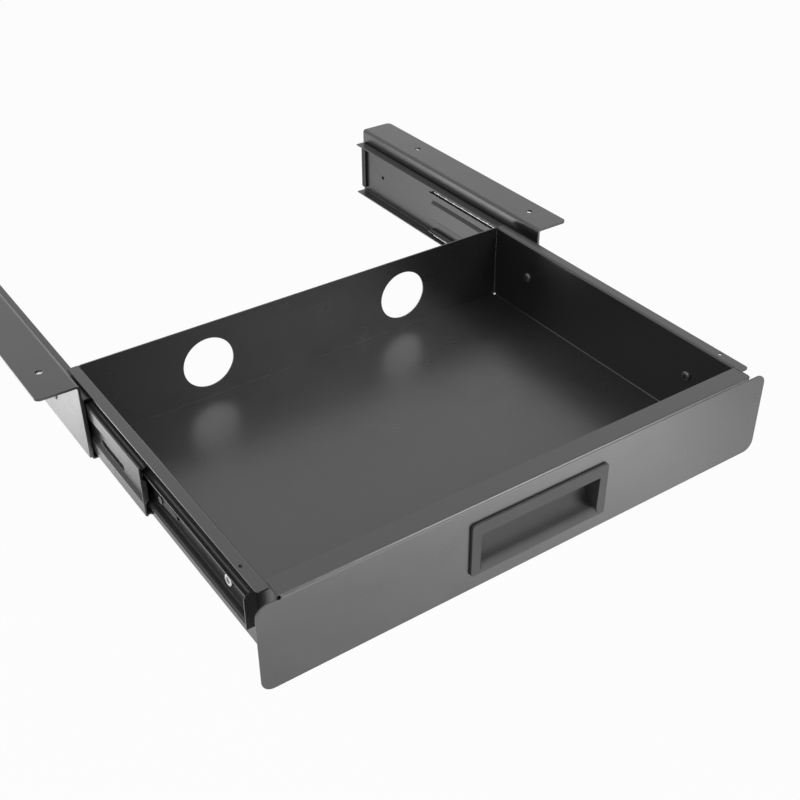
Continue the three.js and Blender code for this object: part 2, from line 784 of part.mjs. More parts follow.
const assembly = new THREE.Group();
assembly.position.set(0, -bracketLength / 2, -flangeHeight);
assembly.add(drawerGroup);
for (const [side, sign] of [['left', -1], ['right', 1]]) {
  const fixed = fixedPieces(side, sign > 0);
  const moving = drawerSidePieces(side, sign > 0);
  fixed.position.x = sign * halfPanel;
  moving.position.x = sign * halfPanel;
  assembly.add(fixed);
  drawerGroup.add(moving);
}

const drawer = new THREE.Group();
drawer.add(assembly);

export default drawer;
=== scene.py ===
import math

import bmesh
import bpy
from mathutils import Euler, Matrix, Vector
from mathutils.geometry import delaunay_2d_cdt


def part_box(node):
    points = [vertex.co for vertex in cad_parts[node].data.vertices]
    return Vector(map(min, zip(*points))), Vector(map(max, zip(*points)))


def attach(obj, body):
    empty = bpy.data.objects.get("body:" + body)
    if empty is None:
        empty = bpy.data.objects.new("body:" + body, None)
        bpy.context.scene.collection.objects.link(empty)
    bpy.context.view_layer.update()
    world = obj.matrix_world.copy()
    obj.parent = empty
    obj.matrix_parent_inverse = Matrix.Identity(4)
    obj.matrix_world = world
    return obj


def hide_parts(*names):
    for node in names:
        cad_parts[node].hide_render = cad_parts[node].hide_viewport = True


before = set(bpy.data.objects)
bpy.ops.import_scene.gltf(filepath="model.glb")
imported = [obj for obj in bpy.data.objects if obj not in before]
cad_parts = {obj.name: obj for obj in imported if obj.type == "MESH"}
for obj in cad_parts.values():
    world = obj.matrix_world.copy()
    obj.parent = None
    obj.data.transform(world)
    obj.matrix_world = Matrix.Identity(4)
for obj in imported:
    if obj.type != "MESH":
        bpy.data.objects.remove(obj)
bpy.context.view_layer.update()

bl_info = {
    "name": "Under-desk drawer",
    "version": (1, 0, 0),
    "blender": (4, 5, 0),
    "location": "View3D > Sidebar > Drawer",
    "description": "Builds a pull-out drawer for the underside of a desk, with its slides and brackets",
    "category": "Add Mesh",
}

MM = 0.001
SIDES = (("left", -1), ("right", 1))

# Places read from the frame
PANEL_LOW, PANEL_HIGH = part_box("front_panel")
TRAY_LOW, TRAY_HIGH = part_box("drawer_tray")
BEZEL_LOW, BEZEL_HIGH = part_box("handle_cup")
BRACKET_LOW, BRACKET_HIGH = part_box("left_bracket")
CABINET_LOW, CABINET_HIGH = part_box("left_cabinet_slide_member")
MIDDLE_LOW, MIDDLE_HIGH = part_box("left_middle_slide_member")
INNER_LOW, INNER_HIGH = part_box("left_drawer_slide_member")
OUTER_CAGE_LOW, OUTER_CAGE_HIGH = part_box("left_outer_ball_cage")
INNER_CAGE_LOW, INNER_CAGE_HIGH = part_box("left_inner_ball_cage")

HALF_PANEL = PANEL_HIGH.x
PANEL_FRONT = PANEL_LOW.y
PANEL_BOTTOM = PANEL_LOW.z
PANEL_TOP = PANEL_HIGH.z
SLIDE_Z = (INNER_LOW.z + INNER_HIGH.z) / 2

# Small sizes of single pieces
OVERRUN = 1 * MM
FOLD_OVERLAP = 6 * MM
RIM_OVERLAP = 12 * MM
CUP_ROUND = 1.6 * MM
CUP_CLEARANCE = 0.3 * MM
CABINET_EDGE = 0.2 * MM
MEMBER_EDGE = 0.16 * MM
SLOT_FLAT = 0.2 * MM
LEVER_TIP = 2 * MM
LEVER_TIP_ROUND = 1.3 * MM
LEVER_BORE = 1.8 * MM
LEVER_EDGE = 0.3 * MM
CAGE_SHEET = 0.5 * MM
CAGE_LEG = 0.25 * MM
BALL_CLEARANCE = 0.3 * MM
SCREW_HEAD = 2 * MM
SCREW_SHANK = 2 * MM
SCREW_EDGE = 0.1 * MM
CROSS_WIDTH = 0.9 * MM
CROSS_LENGTH = 4.2 * MM
NUT_BORE = 2.3 * MM
NUT_LEAD = 0.3 * MM
RIVET_HEAD = 1.2 * MM
RIVET_SHANK = 2 * MM
MERGE_DISTANCE = 0.002 * MM
SHARP_ANGLE = math.radians(40)
QUARTER_TURN = [math.pi / 2 * step / 8 for step in range(9)]


# Settings that a user may change

def length_property(name, description, default):
    return bpy.props.FloatProperty(name=name, description=description, default=default, unit="LENGTH")


def colour_property(name, description, default):
    return bpy.props.FloatVectorProperty(
        name=name, description=description, subtype="COLOR", size=3, default=default)


class SheetSizes(bpy.types.PropertyGroup):
    """Sizes of the drawer's sheet metal and of the brackets"""

    sheet: length_property("Drawer sheet", "Thickness of the drawer's sheet", 1.2 * MM)
    bend: length_property("Bend radius", "Outer radius of the drawer's bends", 2 * MM)
    back_bend: length_property("Back bend", "Outer radius of the bend below the back wall", 1.3 * MM)
    edge: length_property("Edge rounding", "Rounding of cut sheet edges under the coat", 0.22 * MM)
    rim_width: length_property("Side rim width", "Width of the rims beside the tray", 9 * MM)
    rim_corner: length_property("Rim corner radius", "Radius of the rims' front corners", 3 * MM)
    panel_corner: length_property("Panel corner radius", "Radius of the panel's corners", 8.5 * MM)
    ear_drop: length_property("Ear drop", "How far the ears stay below the rim", 2 * MM)
    relief: length_property("Relief hole", "Diameter of the holes at the bend's ends", 2.4 * MM)
    relief_height: length_property(
        "Relief hole height", "Height of those holes above the panel's lower edge", 68.6 * MM)
    notch: length_property(
        "Corner notch", "How far the side rims start behind the panel's face", 10 * MM)
    flange: length_property("Front flange", "Width of the tray's front flanges", 15 * MM)
    lower_flange: length_property(
        "Lower front flange", "Height of the tray's lower front flange", 11 * MM)
    corner_bend: length_property("Corner bend", "Outer radius of the tray's upright front bends", 3 * MM)
    cable_hole: length_property("Cable hole", "Diameter of the cable holes", 43.3 * MM)
    cable_spacing: length_property("Cable hole spacing", "Distance between the cable holes", 184.8 * MM)
    rim_hole: length_property("Rim hole", "Diameter of the small hole in each rim", 2.8 * MM)
    rim_hole_inset: length_property(
        "Rim hole inset", "Distance of the rim hole from the rim's outer edge", 3.3 * MM)
    rim_hole_setback: length_property(
        "Rim hole setback", "Distance of the rim hole from the panel's face", 35 * MM)
    seam: length_property("Corner seam", "Width of the seams at the back corners", 0.4 * MM)
    bracket_sheet: length_property("Bracket sheet", "Thickness of the brackets", 2 * MM)
    bracket_bend: length_property("Bracket bend", "Outer radius of the brackets' bend", 3 * MM)
    bracket_corner: length_property("Bracket corner", "Radius of the flanges' corners", 4.5 * MM)
    plate_corner: length_property("Plate corner", "Radius of the hanging plates' corners", 1 * MM)
    mounting_hole: length_property("Mounting hole", "Diameter of the holes in the flanges", 5.3 * MM)
    mounting_setback: length_property(
        "Mounting setback", "First mounting hole from the bracket's front", 33 * MM)
    mounting_spacing: length_property(
        "Mounting spacing", "Distance between the mounting holes", 170 * MM)


class HandleSizes(bpy.types.PropertyGroup):
    """Sizes of the recessed handle"""

    bezel: length_property("Bezel thickness", "How far the bezel stands proud", 2.2 * MM)
    bezel_edge: length_property("Bezel edge", "Rounding of the bezel's edges", 0.5 * MM)
    bezel_corner: length_property("Bezel corner", "Radius of the bezel's corners", 2.5 * MM)
    opening_width: length_property("Opening width", "Width of the finger opening", 100 * MM)
    opening_height: length_property("Opening height", "Height of the finger opening", 25.5 * MM)
    opening_drop: length_property(
        "Opening drop", "How far the opening lies below the bezel's middle", 1.5 * MM)
    wall: length_property("Cup wall", "Wall of the moulded cup", 1.5 * MM)
    scoop: length_property("Scoop", "Radius between the cup's floor and its back", 9 * MM)
    lip: length_property("Lip", "Radius of the opening's lower lip", 4 * MM)


class SlideSizes(bpy.types.PropertyGroup):
    """Sizes of the slides and their fasteners"""

    sheet: length_property("Slide sheet", "Thickness of the slide members", 1.2 * MM)
    bend: length_property("Slide bend", "Outer radius of the slide members' bends", 1.8 * MM)
    groove_depth: length_property("Groove depth", "Depth of the ball grooves", 0.9 * MM)
    groove_width: length_property("Groove width", "Width of the ball grooves", 2.4 * MM)
    outer_track: length_property(
        "Outer track", "Outer ball track from the bracket's inner face", 5.2 * MM)
    inner_track: length_property(
        "Inner track", "Inner ball track from the bracket's inner face", 8.05 * MM)
    web_height: length_property(
        "Middle web height", "Height of the middle member's recessed web", 20 * MM)
    web_step: length_property("Middle web step", "Depth of the middle member's recessed web", 2.8 * MM)
    web_slope: length_property(
        "Middle web slope", "Height of the slopes beside the recessed web", 2.4 * MM)
    slot_length: length_property("Slot length", "Length of the slot in the middle member", 38 * MM)
    slot_height: length_property("Slot height", "Height of the slot in the middle member", 6 * MM)
    slot_setback: length_property("Slot setback", "Slot from the middle member's front end", 37 * MM)
    slot_drop: length_property("Slot drop", "Slot below the middle member's centre", 4.2 * MM)
    flange_depth: length_property(
        "Inner flange depth", "Depth of the inner member behind its end plate", 7.4 * MM)
    plate_bevel: length_property("End plate bevel", "Bevel of the inner member's end plate", 2.5 * MM)
    ball_count: bpy.props.IntProperty(
        name="Balls per row", description="Balls in each row of a cage", default=9, min=2, max=20)


class FinishColours(bpy.types.PropertyGroup):
    """Colours of the finishes"""

    coat: colour_property("Powder coat", "Colour of the satin powder coat", (0.022, 0.0216, 0.0222))
    slide: colour_property("Slide coat", "Colour of the slides' smooth coat", (0.12, 0.1185, 0.121))
    handle: colour_property("Handle", "Colour of the handle's moulding", (0.1, 0.1, 0.101))
    zinc: colour_property("Zinc", "Colour of the zinc-plated fasteners", (0.72, 0.73, 0.75))
    floor: colour_property("Floor", "Colour of the pale floor", (0.9, 0.9, 0.89))


class StudioSettings(bpy.types.PropertyGroup):
    """The camera, the floor and the lamps"""

    camera_place: bpy.props.FloatVectorProperty(
        name="Camera place", description="Where the camera stands", subtype="XYZ", unit="LENGTH",
        size=3, default=(-415.6 * MM, -834.4 * MM, 466.9 * MM))
    camera_turn: bpy.props.FloatVectorProperty(
        name="Camera turn", description="How the camera is turned", subtype="EULER", unit="ROTATION",
        size=3, default=(math.radians(55.236), math.radians(0.234), math.radians(-34.638)))
    lens: bpy.props.FloatProperty(
        name="Lens", description="Focal length on a 36 mm wide sensor, in millimetres", default=53.885)
    floor_drop: length_property("Floor drop", "How far the floor lies below the drawer", 620 * MM)
    world_light: bpy.props.FloatProperty(
        name="World light", description="Strength of the even light", default=0.1)


# Outlines in a plane

def turn_angle(start, end):
    return math.atan2(start.x * end.y - start.y * end.x, start.dot(end))


def corner_arc(before, corner, after, radius, steps):
    back = (before - corner).normalized()
    ahead = (after - corner).normalized()
    half_angle = abs(turn_angle(back, ahead)) / 2
    reach = radius / math.tan(half_angle)
    centre = corner + (back + ahead).normalized() * (radius / math.sin(half_angle))
    start = corner + back * reach - centre
    end = corner + ahead * reach - centre
    sweep = turn_angle(start, end)
    return [centre + Matrix.Rotation(sweep * step / steps, 2) @ start for step in range(steps + 1)]


def rounded_line(points, radii, closed, steps=6):
    line = []
    count = len(points)
    for index, corner in enumerate(points):
        at_end = not closed and index in (0, count - 1)
        if at_end or radii[index] <= 0:
            line.append(corner.copy())
            continue
        before = points[index - 1]
        after = points[(index + 1) % count]
        line.extend(corner_arc(before, corner, after, radii[index], steps))
    return line


def rectangle(left, right, low, high, radii=(0, 0, 0, 0), steps=8):
    corners = [Vector((left, low)), Vector((right, low)), Vector((right, high)), Vector((left, high))]
    return rounded_line(corners, radii, True, steps)


def circle(centre_a, centre_b, radius, steps=32):
    turns = [2 * math.pi * step / steps for step in range(steps)]
    return [Vector((centre_a + radius * math.cos(turn), centre_b + radius * math.sin(turn)))
            for turn in turns]


def bent_sheet(path, thickness, bend, steps=6):
    """The outline of a bent sheet: the path is one face, and the sheet lies to the left of it."""
    points = [Vector(corner) for corner in path]
    last = len(points) - 1
    along = [(points[index + 1] - points[index]).normalized() for index in range(last)]
    normals = [Vector((-direction.y, direction.x)) for direction in along]
    other = []
    for index, corner in enumerate(points):
        normal = normals[max(index - 1, 0)]
        next_normal = normals[min(index, last - 1)]
        mitre = (normal + next_normal).normalized()
        other.append(corner + mitre * (thickness / mitre.dot(next_normal)))
    face_radii = []
    other_radii = []
    for index in range(last + 1):
        inside = 0 < index < last
        left = inside and turn_angle(along[index - 1], along[index]) > 0
        face_radii.append(bend if left else bend - thickness)
        other_radii.append(bend - thickness if left else bend)
    face = rounded_line(points, face_radii, False, steps)
    return face + rounded_line(other, other_radii, False, steps)[::-1]


# Solids

AXES = {
    "X": lambda a, b, along: (along, a, b),
    "Y": lambda a, b, along: (a, along, b),
    "Z": lambda a, b, along: (a, b, along),
}


def prism(outline, axis, low, high, narrowing=None):
    """A solid with that outline along the axis. narrowing scales its far end about a centre."""
    place = AXES[axis]
    shape = bmesh.new()
    near = [shape.verts.new(place(point.x, point.y, low)) for point in outline]
    far_outline = outline
    if narrowing:
        centre, scale = narrowing
        far_outline = [centre + Vector(((p.x - centre.x) * scale.x, (p.y - centre.y) * scale.y))
                       for p in outline]
    far = [shape.verts.new(place(point.x, point.y, high)) for point in far_outline]
    shape.faces.new(near)
    shape.faces.new(far)
    count = len(outline)
    for index in range(count):
        after = (index + 1) % count
        shape.faces.new((near[index], near[after], far[after], far[index]))
    bmesh.ops.recalc_face_normals(shape, faces=shape.faces)
    return solid_object(shape)


def solid_object(shape, name="solid"):
    mesh = bpy.data.meshes.new(name)
    shape.to_mesh(mesh)
    shape.free()
    solid = bpy.data.objects.new(name, mesh)
    bpy.context.scene.collection.objects.link(solid)
    return solid


def turned(profile, axis, centre, steps=40):
    """A solid turned about the axis through centre. The profile gives place along the axis and radius."""
    shape = bmesh.new()
    rings = []
    for along, radius in profile:
        if radius <= 0:
            rings.append([shape.verts.new((along, 0, 0))])
            continue
        turns = [2 * math.pi * step / steps for step in range(steps)]
        rings.append([shape.verts.new((along, radius * math.cos(t), radius * math.sin(t))) for t in turns])
    closed = profile[0] == profile[-1]
    if closed:
        for vert in rings.pop():
            shape.verts.remove(vert)
        rings.append(rings[0])
    for first, second in zip(rings, rings[1:]):
        for step in range(steps):
            after = (step + 1) % steps
            corners = [first[step % len(first)], first[after % len(first)],
                       second[after % len(second)], second[step % len(second)]]
            unique = list(dict.fromkeys(corners))
            if len(unique) > 2:
                shape.faces.new(unique)
    bmesh.ops.recalc_face_normals(shape, faces=shape.faces)
    if axis == "Y":
        bmesh.ops.rotate(shape, verts=shape.verts, matrix=Matrix.Rotation(math.pi / 2, 3, "Z"))
    bmesh.ops.translate(shape, verts=shape.verts, vec=Vector(centre))
    return solid_object(shape)


def evaluated_mesh(source):
    graph = bpy.context.evaluated_depsgraph_get()
    return bpy.data.meshes.new_from_object(source.evaluated_get(graph))


def discard(objects):
    for spare in objects:
        mesh = spare.data
        bpy.data.objects.remove(spare)
        if mesh.users == 0:
            bpy.data.meshes.remove(mesh)


def refill(body, face):
    """Fills a flat face again with triangles that keep to its outline."""
    corners = list(face.verts)
    normal = face.normal.copy()
    turn = normal.rotation_difference(Vector((0, 0, 1)))
    flat = [(turn @ corner.co).xy for corner in corners]
    depth = (turn @ corners[0].co).z
    back = turn.inverted()
    points, _, triangles, origins, *_ = delaunay_2d_cdt(flat, [], [list(range(len(flat)))], 1, 1e-7)
    known = [corners[origin[0]] if origin else body.verts.new(back @ Vector((*point, depth)))
             for point, origin in zip(points, origins)]
    body.faces.remove(face)
    for triangle in triangles:
        verts = [known[index] for index in triangle]
        if len(set(verts)) == 3 and not body.faces.get(verts):
            new = body.faces.new(verts)
            new.normal_update()
            if new.normal.dot(normal) < 0:
                new.normal_flip()


def refill_overlapping(body):
    """Finds the faces whose triangles would cover more than their outline, and fills them again."""
    covered = {}
    for loops in body.calc_loop_triangles():
        corner, second, third = (loop.vert.co for loop in loops)
        area = (second - corner).cross(third - corner).length / 2
        covered[loops[0].face] = covered.get(loops[0].face, 0) + area
    for face, area in covered.items():
        if len(face.verts) > 4 and area > 1.01 * face.calc_area():
            refill(body, face)


def carved(name, solids, tools, rounding, finish, bevel_angle=35, segments=2):
    """Joins the solids, cuts the tools out, rounds sharp edges and returns one finished piece."""
    body = solids[0]
    for other in solids[1:]:
        joined = body.modifiers.new("join", "BOOLEAN")
        joined.operation = "UNION"
        joined.solver = "EXACT"
        joined.object = other
    for tool in tools:
        cut = body.modifiers.new("cut", "BOOLEAN")
        cut.operation = "DIFFERENCE"
        cut.solver = "EXACT"
        cut.object = tool
    flatten = body.modifiers.new("flatten", "DECIMATE")
    flatten.decimate_type = "DISSOLVE"
    flatten.angle_limit = math.radians(0.6)
    if rounding > 0:
        edges = body.modifiers.new("edges", "BEVEL")
        edges.width = rounding
        edges.segments = segments
        edges.limit_method = "ANGLE"
        edges.angle_limit = math.radians(bevel_angle)
        edges.use_clamp_overlap = False
        edges.miter_outer = "MITER_ARC"
    mesh = evaluated_mesh(body)
    discard([*solids, *tools])
    mesh.name = name
    piece = bpy.data.objects.new(name, mesh)
    bpy.context.scene.collection.objects.link(piece)
    mesh.materials.clear()
    mesh.materials.append(finish)
    smooth = bmesh.new()
    smooth.from_mesh(mesh)
    bmesh.ops.remove_doubles(smooth, verts=smooth.verts, dist=MERGE_DISTANCE)
    refill_overlapping(smooth)
    for face in smooth.faces:
        face.smooth = True
        face.material_index = 0
    for edge in smooth.edges:
        edge.smooth = len(edge.link_faces) != 2 or edge.calc_face_angle(0) < SHARP_ANGLE
    smooth.to_mesh(mesh)
    smooth.free()
    weighted = piece.modifiers.new("normals", "WEIGHTED_NORMAL")
    weighted.keep_sharp = True
    weighted.weight = 100
    return piece


def belongs(piece, body, slot, *nodes):
    """The piece rides on the body and stands for the CAD nodes, which it hides. The slot is not used."""
    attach(piece, body)
    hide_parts(*nodes)


# Finishes

def new_finish(name):
    finish = bpy.data.materials.new(name)
    finish.use_nodes = True
    nodes = finish.node_tree.nodes
    shader = nodes["Principled BSDF"]
    places = nodes.new("ShaderNodeTexCoord")
    return finish, nodes, finish.node_tree.links, shader, places.outputs["Object"]


def noise(nodes, links, place, scale, detail=4, roughness=0.55, stretch=None):
    source = place
    if stretch:
        mapping = nodes.new("ShaderNodeMapping")
        mapping.inputs["Scale"].default_value = stretch
        links.new(place, mapping.inputs["Vector"])
        source = mapping.outputs["Vector"]
    texture = nodes.new("ShaderNodeTexNoise")
    texture.inputs["Scale"].default_value = scale
    texture.inputs["Detail"].default_value = detail
    texture.inputs["Roughness"].default_value = roughness
    links.new(source, texture.inputs["Vector"])
    return texture.outputs["Fac"]


def spread(nodes, links, value, low, high):
    """Maps a noise value onto low..high."""
    mapped = nodes.new("ShaderNodeMapRange")
    mapped.inputs["From Min"].default_value = 0.3
    mapped.inputs["From Max"].default_value = 0.7
    mapped.inputs["To Min"].default_value = low
    mapped.inputs["To Max"].default_value = high
    links.new(value, mapped.inputs["Value"])
    return mapped.outputs["Result"]


def tinted(nodes, links, value, colour, variation):
    """A colour that wanders a little lighter and darker with the value."""
    ramp = nodes.new("ShaderNodeValToRGB")
    darker = [channel * (1 - variation) for channel in colour]
    lighter = [channel * (1 + variation) for channel in colour]
    ramp.color_ramp.elements[0].position = 0.3
    ramp.color_ramp.elements[0].color = (*darker, 1)
    ramp.color_ramp.elements[1].position = 0.7
    ramp.color_ramp.elements[1].color = (*lighter, 1)
    links.new(value, ramp.inputs["Fac"])
    return ramp.outputs["Color"]


def bumped(nodes, links, shader, height, strength, distance):
    bump = nodes.new("ShaderNodeBump")
    bump.inputs["Strength"].default_value = strength
    bump.inputs["Distance"].default_value = distance
    links.new(height, bump.inputs["Height"])
    links.new(bump.outputs["Normal"], shader.inputs["Normal"])


def coat_finish(name, colour, roughness, grain, strength):
    """Satin powder coat: fine orange peel, slight clouding and uneven gloss."""
    finish, nodes, links, shader, place = new_finish(name)
    shader.inputs["Specular IOR Level"].default_value = 1.0
    clouds = noise(nodes, links, place, 14, 3)
    links.new(tinted(nodes, links, clouds, colour, 0.05), shader.inputs["Base Color"])
    patches = noise(nodes, links, place, 45, 5)
    links.new(spread(nodes, links, patches, roughness - 0.03, roughness + 0.03), shader.inputs["Roughness"])
    peel = noise(nodes, links, place, grain, 2, 0.4)
    bumped(nodes, links, shader, peel, strength, 0.06 * MM)
    return finish


def slide_finish(name, colour):
    """Smooth dark coat with faint rolling lines along the member."""
    finish, nodes, links, shader, place = new_finish(name)
    lines = noise(nodes, links, place, 2200, 2, 0.5, (1, 0.01, 1))
    links.new(tinted(nodes, links, lines, colour, 0.08), shader.inputs["Base Color"])
    links.new(spread(nodes, links, lines, 0.27, 0.33), shader.inputs["Roughness"])
    bumped(nodes, links, shader, lines, 0.05, 0.01 * MM)
    return finish


def moulding_finish(name, colour, roughness):
    """Moulded plastic with a fine spark-eroded grain."""
    finish, nodes, links, shader, place = new_finish(name)
    shader.inputs["Specular IOR Level"].default_value = 0.3
    clouds = noise(nodes, links, place, 30, 2)
    links.new(tinted(nodes, links, clouds, colour, 0.05), shader.inputs["Base Color"])
    grain = noise(nodes, links, place, 2600, 2, 0.5)
    links.new(spread(nodes, links, grain, roughness - 0.05, roughness + 0.05), shader.inputs["Roughness"])
    bumped(nodes, links, shader, grain, 0.25, 0.03 * MM)
    return finish


def metal_finish(name, colour, low, high, stretch):
    """Plated or bare steel with fine turning marks."""
    finish, nodes, links, shader, place = new_finish(name)
    shader.inputs["Metallic"].default_value = 1
    marks = noise(nodes, links, place, 1500, 3, 0.6, stretch)
    links.new(tinted(nodes, links, marks, colour, 0.08), shader.inputs["Base Color"])
    links.new(spread(nodes, links, marks, low, high), shader.inputs["Roughness"])
    return finish


def finish_named(name):
    """Makes each finish once, from the colours in the scene's settings."""
    known = bpy.data.materials.get(name)
    if known:
        return known
    colours = bpy.context.scene.drawer_colours
    if name == "satin_black_coat":
        return coat_finish(name, tuple(colours.coat), 0.3, 1100, 0.35)
    if name == "smooth_slide_coat":
        return slide_finish(name, tuple(colours.slide))
    if name == "grained_handle":
        return moulding_finish(name, tuple(colours.handle), 0.66)
    if name == "bright_zinc":
        return metal_finish(name, tuple(colours.zinc), 0.22, 0.38, (0.3, 1, 1))
    if name == "dark_zinc":
        return metal_finish(name, (0.16, 0.163, 0.17), 0.34, 0.46, (0.3, 1, 1))
    if name == "oiled_steel":
        return metal_finish(name, (0.42, 0.43, 0.45), 0.18, 0.3, (1, 1, 1))
    if name == "black_moulding":
        return moulding_finish(name, (0.02, 0.02, 0.021), 0.45)
    raise KeyError(name)


# Repeats made with geometry nodes

def node_tree(name, inputs):
    tree = bpy.data.node_groups.new(name, "GeometryNodeTree")
    sockets = {}
    for label, kind in inputs:
        sockets[label] = tree.interface.new_socket(label, in_out="INPUT", socket_type=kind).identifier
    tree.interface.new_socket("Geometry", in_out="OUTPUT", socket_type="NodeSocketGeometry")
    return tree, sockets


def tree_output(tree, geometry, finish_socket):
    """Ends a tree in real geometry with its finish."""
    real = tree.nodes.new("GeometryNodeRealizeInstances")
    painted = tree.nodes.new("GeometryNodeSetMaterial")
    out = tree.nodes.new("NodeGroupOutput")
    tree.links.new(geometry, real.inputs[0])
    tree.links.new(real.outputs[0], painted.inputs["Geometry"])
    tree.links.new(finish_socket, painted.inputs["Material"])
    tree.links.new(painted.outputs[0], out.inputs[0])


def copies_tree():
    """One shape on every point."""
    name = "copies_on_points"
    inputs = [("Points", "NodeSocketGeometry"), ("Shape", "NodeSocketObject"),
              ("Turn", "NodeSocketRotation"), ("Finish", "NodeSocketMaterial")]
    tree, sockets = node_tree(name, inputs)
    entry = tree.nodes.new("NodeGroupInput")
    shape = tree.nodes.new("GeometryNodeObjectInfo")
    copies = tree.nodes.new("GeometryNodeInstanceOnPoints")
    tree.links.new(entry.outputs["Shape"], shape.inputs["Object"])
    tree.links.new(entry.outputs["Points"], copies.inputs["Points"])
    tree.links.new(shape.outputs["Geometry"], copies.inputs["Instance"])
    tree.links.new(entry.outputs["Turn"], copies.inputs["Rotation"])
    tree_output(tree, copies.outputs[0], entry.outputs["Finish"])
    return tree, sockets


def balls_tree():
    """Two rows of balls and the strip that holds them."""
    name = "rows_of_balls"
    inputs = [("Strip", "NodeSocketGeometry"), ("Count", "NodeSocketInt"), ("First", "NodeSocketVector"),
              ("Pitch", "NodeSocketVector"), ("Rise", "NodeSocketVector"), ("Radius", "NodeSocketFloat"),
              ("Finish", "NodeSocketMaterial")]
    tree, sockets = node_tree(name, inputs)
    entry = tree.nodes.new("NodeGroupInput")
    joined = tree.nodes.new("GeometryNodeJoinGeometry")
    ball = tree.nodes.new("GeometryNodeMeshUVSphere")
    ball.inputs["Segments"].default_value = 20
    ball.inputs["Rings"].default_value = 12
    tree.links.new(entry.outputs["Radius"], ball.inputs["Radius"])
    for sign in (-1, 1):
        shift = tree.nodes.new("ShaderNodeVectorMath")
        shift.operation = "MULTIPLY_ADD"
        shift.inputs[1].default_value = (sign, sign, sign)
        tree.links.new(entry.outputs["Rise"], shift.inputs[0])
        tree.links.new(entry.outputs["First"], shift.inputs[2])
        row = tree.nodes.new("GeometryNodeMeshLine")
        tree.links.new(entry.outputs["Count"], row.inputs["Count"])
        tree.links.new(shift.outputs[0], row.inputs["Start Location"])
        tree.links.new(entry.outputs["Pitch"], row.inputs["Offset"])
        copies = tree.nodes.new("GeometryNodeInstanceOnPoints")
        tree.links.new(row.outputs[0], copies.inputs["Points"])
        tree.links.new(ball.outputs["Mesh"], copies.inputs["Instance"])
        smooth = tree.nodes.new("GeometryNodeSetShadeSmooth")
        tree.links.new(copies.outputs[0], smooth.inputs["Geometry"])
        tree.links.new(smooth.outputs[0], joined.inputs[0])
    tree.links.new(entry.outputs["Strip"], joined.inputs[0])
    tree_output(tree, joined.outputs[0], entry.outputs["Finish"])
    return tree, sockets


def grown(name, base, tree, sockets, values):
    """The plain mesh that the tree makes from the base object, with the values as its inputs."""
    growth = base.modifiers.new("growth", "NODES")
    growth.node_group = tree
    for label, value in values.items():
        growth[sockets[label]] = value
    mesh = evaluated_mesh(base)
    mesh.name = name
    piece = bpy.data.objects.new(name, mesh)
    bpy.context.scene.collection.objects.link(piece)
    discard([base])
    return piece


def points_object(places):
    shape = bmesh.new()
    for place in places:
        shape.verts.new(place)
    return solid_object(shape, "points")


def copies(name, shape, places, turn, finish):
    """Copies of one shape at the places, as one plain piece."""
    tree, sockets = copies_tree()
    values = {"Shape": shape, "Turn": turn, "Finish": finish_named(finish)}
    piece = grown(name, points_object(places), tree, sockets, values)
    discard([shape])
    return piece


# Pieces of the drawer

def tray_walls(sizes):
    """Floor, side walls and rims in one bent section, plain at the top beside the front rim."""
    inside = TRAY_HIGH.x - sizes.rim_width
    top = TRAY_HIGH.z
    floor = TRAY_LOW.z
    trough = [(inside, top), (inside, floor + sizes.sheet), (-inside, floor + sizes.sheet), (-inside, top)]
    rimmed = [(TRAY_HIGH.x, top), *trough, (-TRAY_HIGH.x, top)]
    bent = prism(bent_sheet(rimmed, sizes.sheet, sizes.bend), "Y", PANEL_HIGH.y, TRAY_HIGH.y)
    meet = PANEL_HIGH.y + sizes.sheet / 2
    plain = prism(bent_sheet(trough, sizes.sheet, sizes.bend), "Y", TRAY_LOW.y + sizes.corner_bend, meet)
    solids = [bent, plain]
    for side in (-1, 1):
        radii = (sizes.rim_corner, 0, 0, 0) if side < 0 else (0, sizes.rim_corner, 0, 0)
        left, right = sorted((side * inside, side * TRAY_HIGH.x))
        plan = rectangle(left, right, PANEL_FRONT + sizes.notch, meet, radii)
        solids.append(prism(plan, "Z", top - sizes.sheet, top))
    return solids


def tray_front(sizes):
    """The upright front bends, the front flanges, the lip below them and the room for the front rim."""
    inside = TRAY_HIGH.x - sizes.rim_width
    outside = inside + sizes.sheet
    front = TRAY_LOW.y
    floor = TRAY_LOW.z
    top = TRAY_HIGH.z
    meet = front + sizes.corner_bend + sizes.sheet / 2
    path = [(outside - sizes.flange, front), (outside, front), (outside, meet)]
    plan = bent_sheet(path, sizes.sheet, sizes.corner_bend, 8)
    mirrored = [Vector((-corner.x, corner.y)) for corner in plan]
    solids = [prism(outline, "Z", floor + sizes.sheet / 2, top) for outline in (plan, mirrored)]
    lip_path = [(front, floor + sizes.sheet + sizes.lower_flange), (front, floor), (meet, floor)]
    lip = bent_sheet(lip_path, sizes.sheet, sizes.bend)
    solids.append(prism(lip, "X", -outside + sizes.corner_bend, outside - sizes.corner_bend))
    radii = (sizes.corner_bend, sizes.corner_bend, 0, 0)
    solids.append(prism(rectangle(-outside, outside, front, meet, radii), "Z", floor, floor + sizes.sheet))
    between = rectangle(-inside, inside, front - OVERRUN, PANEL_HIGH.y)
    return solids, prism(between, "Z", top - sizes.sheet - sizes.bend, top + OVERRUN)


def tray_back(sizes):
    inside = TRAY_HIGH.x - sizes.rim_width
    back = TRAY_HIGH.y
    floor = TRAY_LOW.z
    path = [(back, TRAY_HIGH.z), (back, floor), (back - FOLD_OVERLAP, floor)]
    section = bent_sheet(path[::-1], sizes.sheet, sizes.back_bend)
    return prism(section, "X", -inside - sizes.sheet / 2, inside + sizes.sheet / 2)


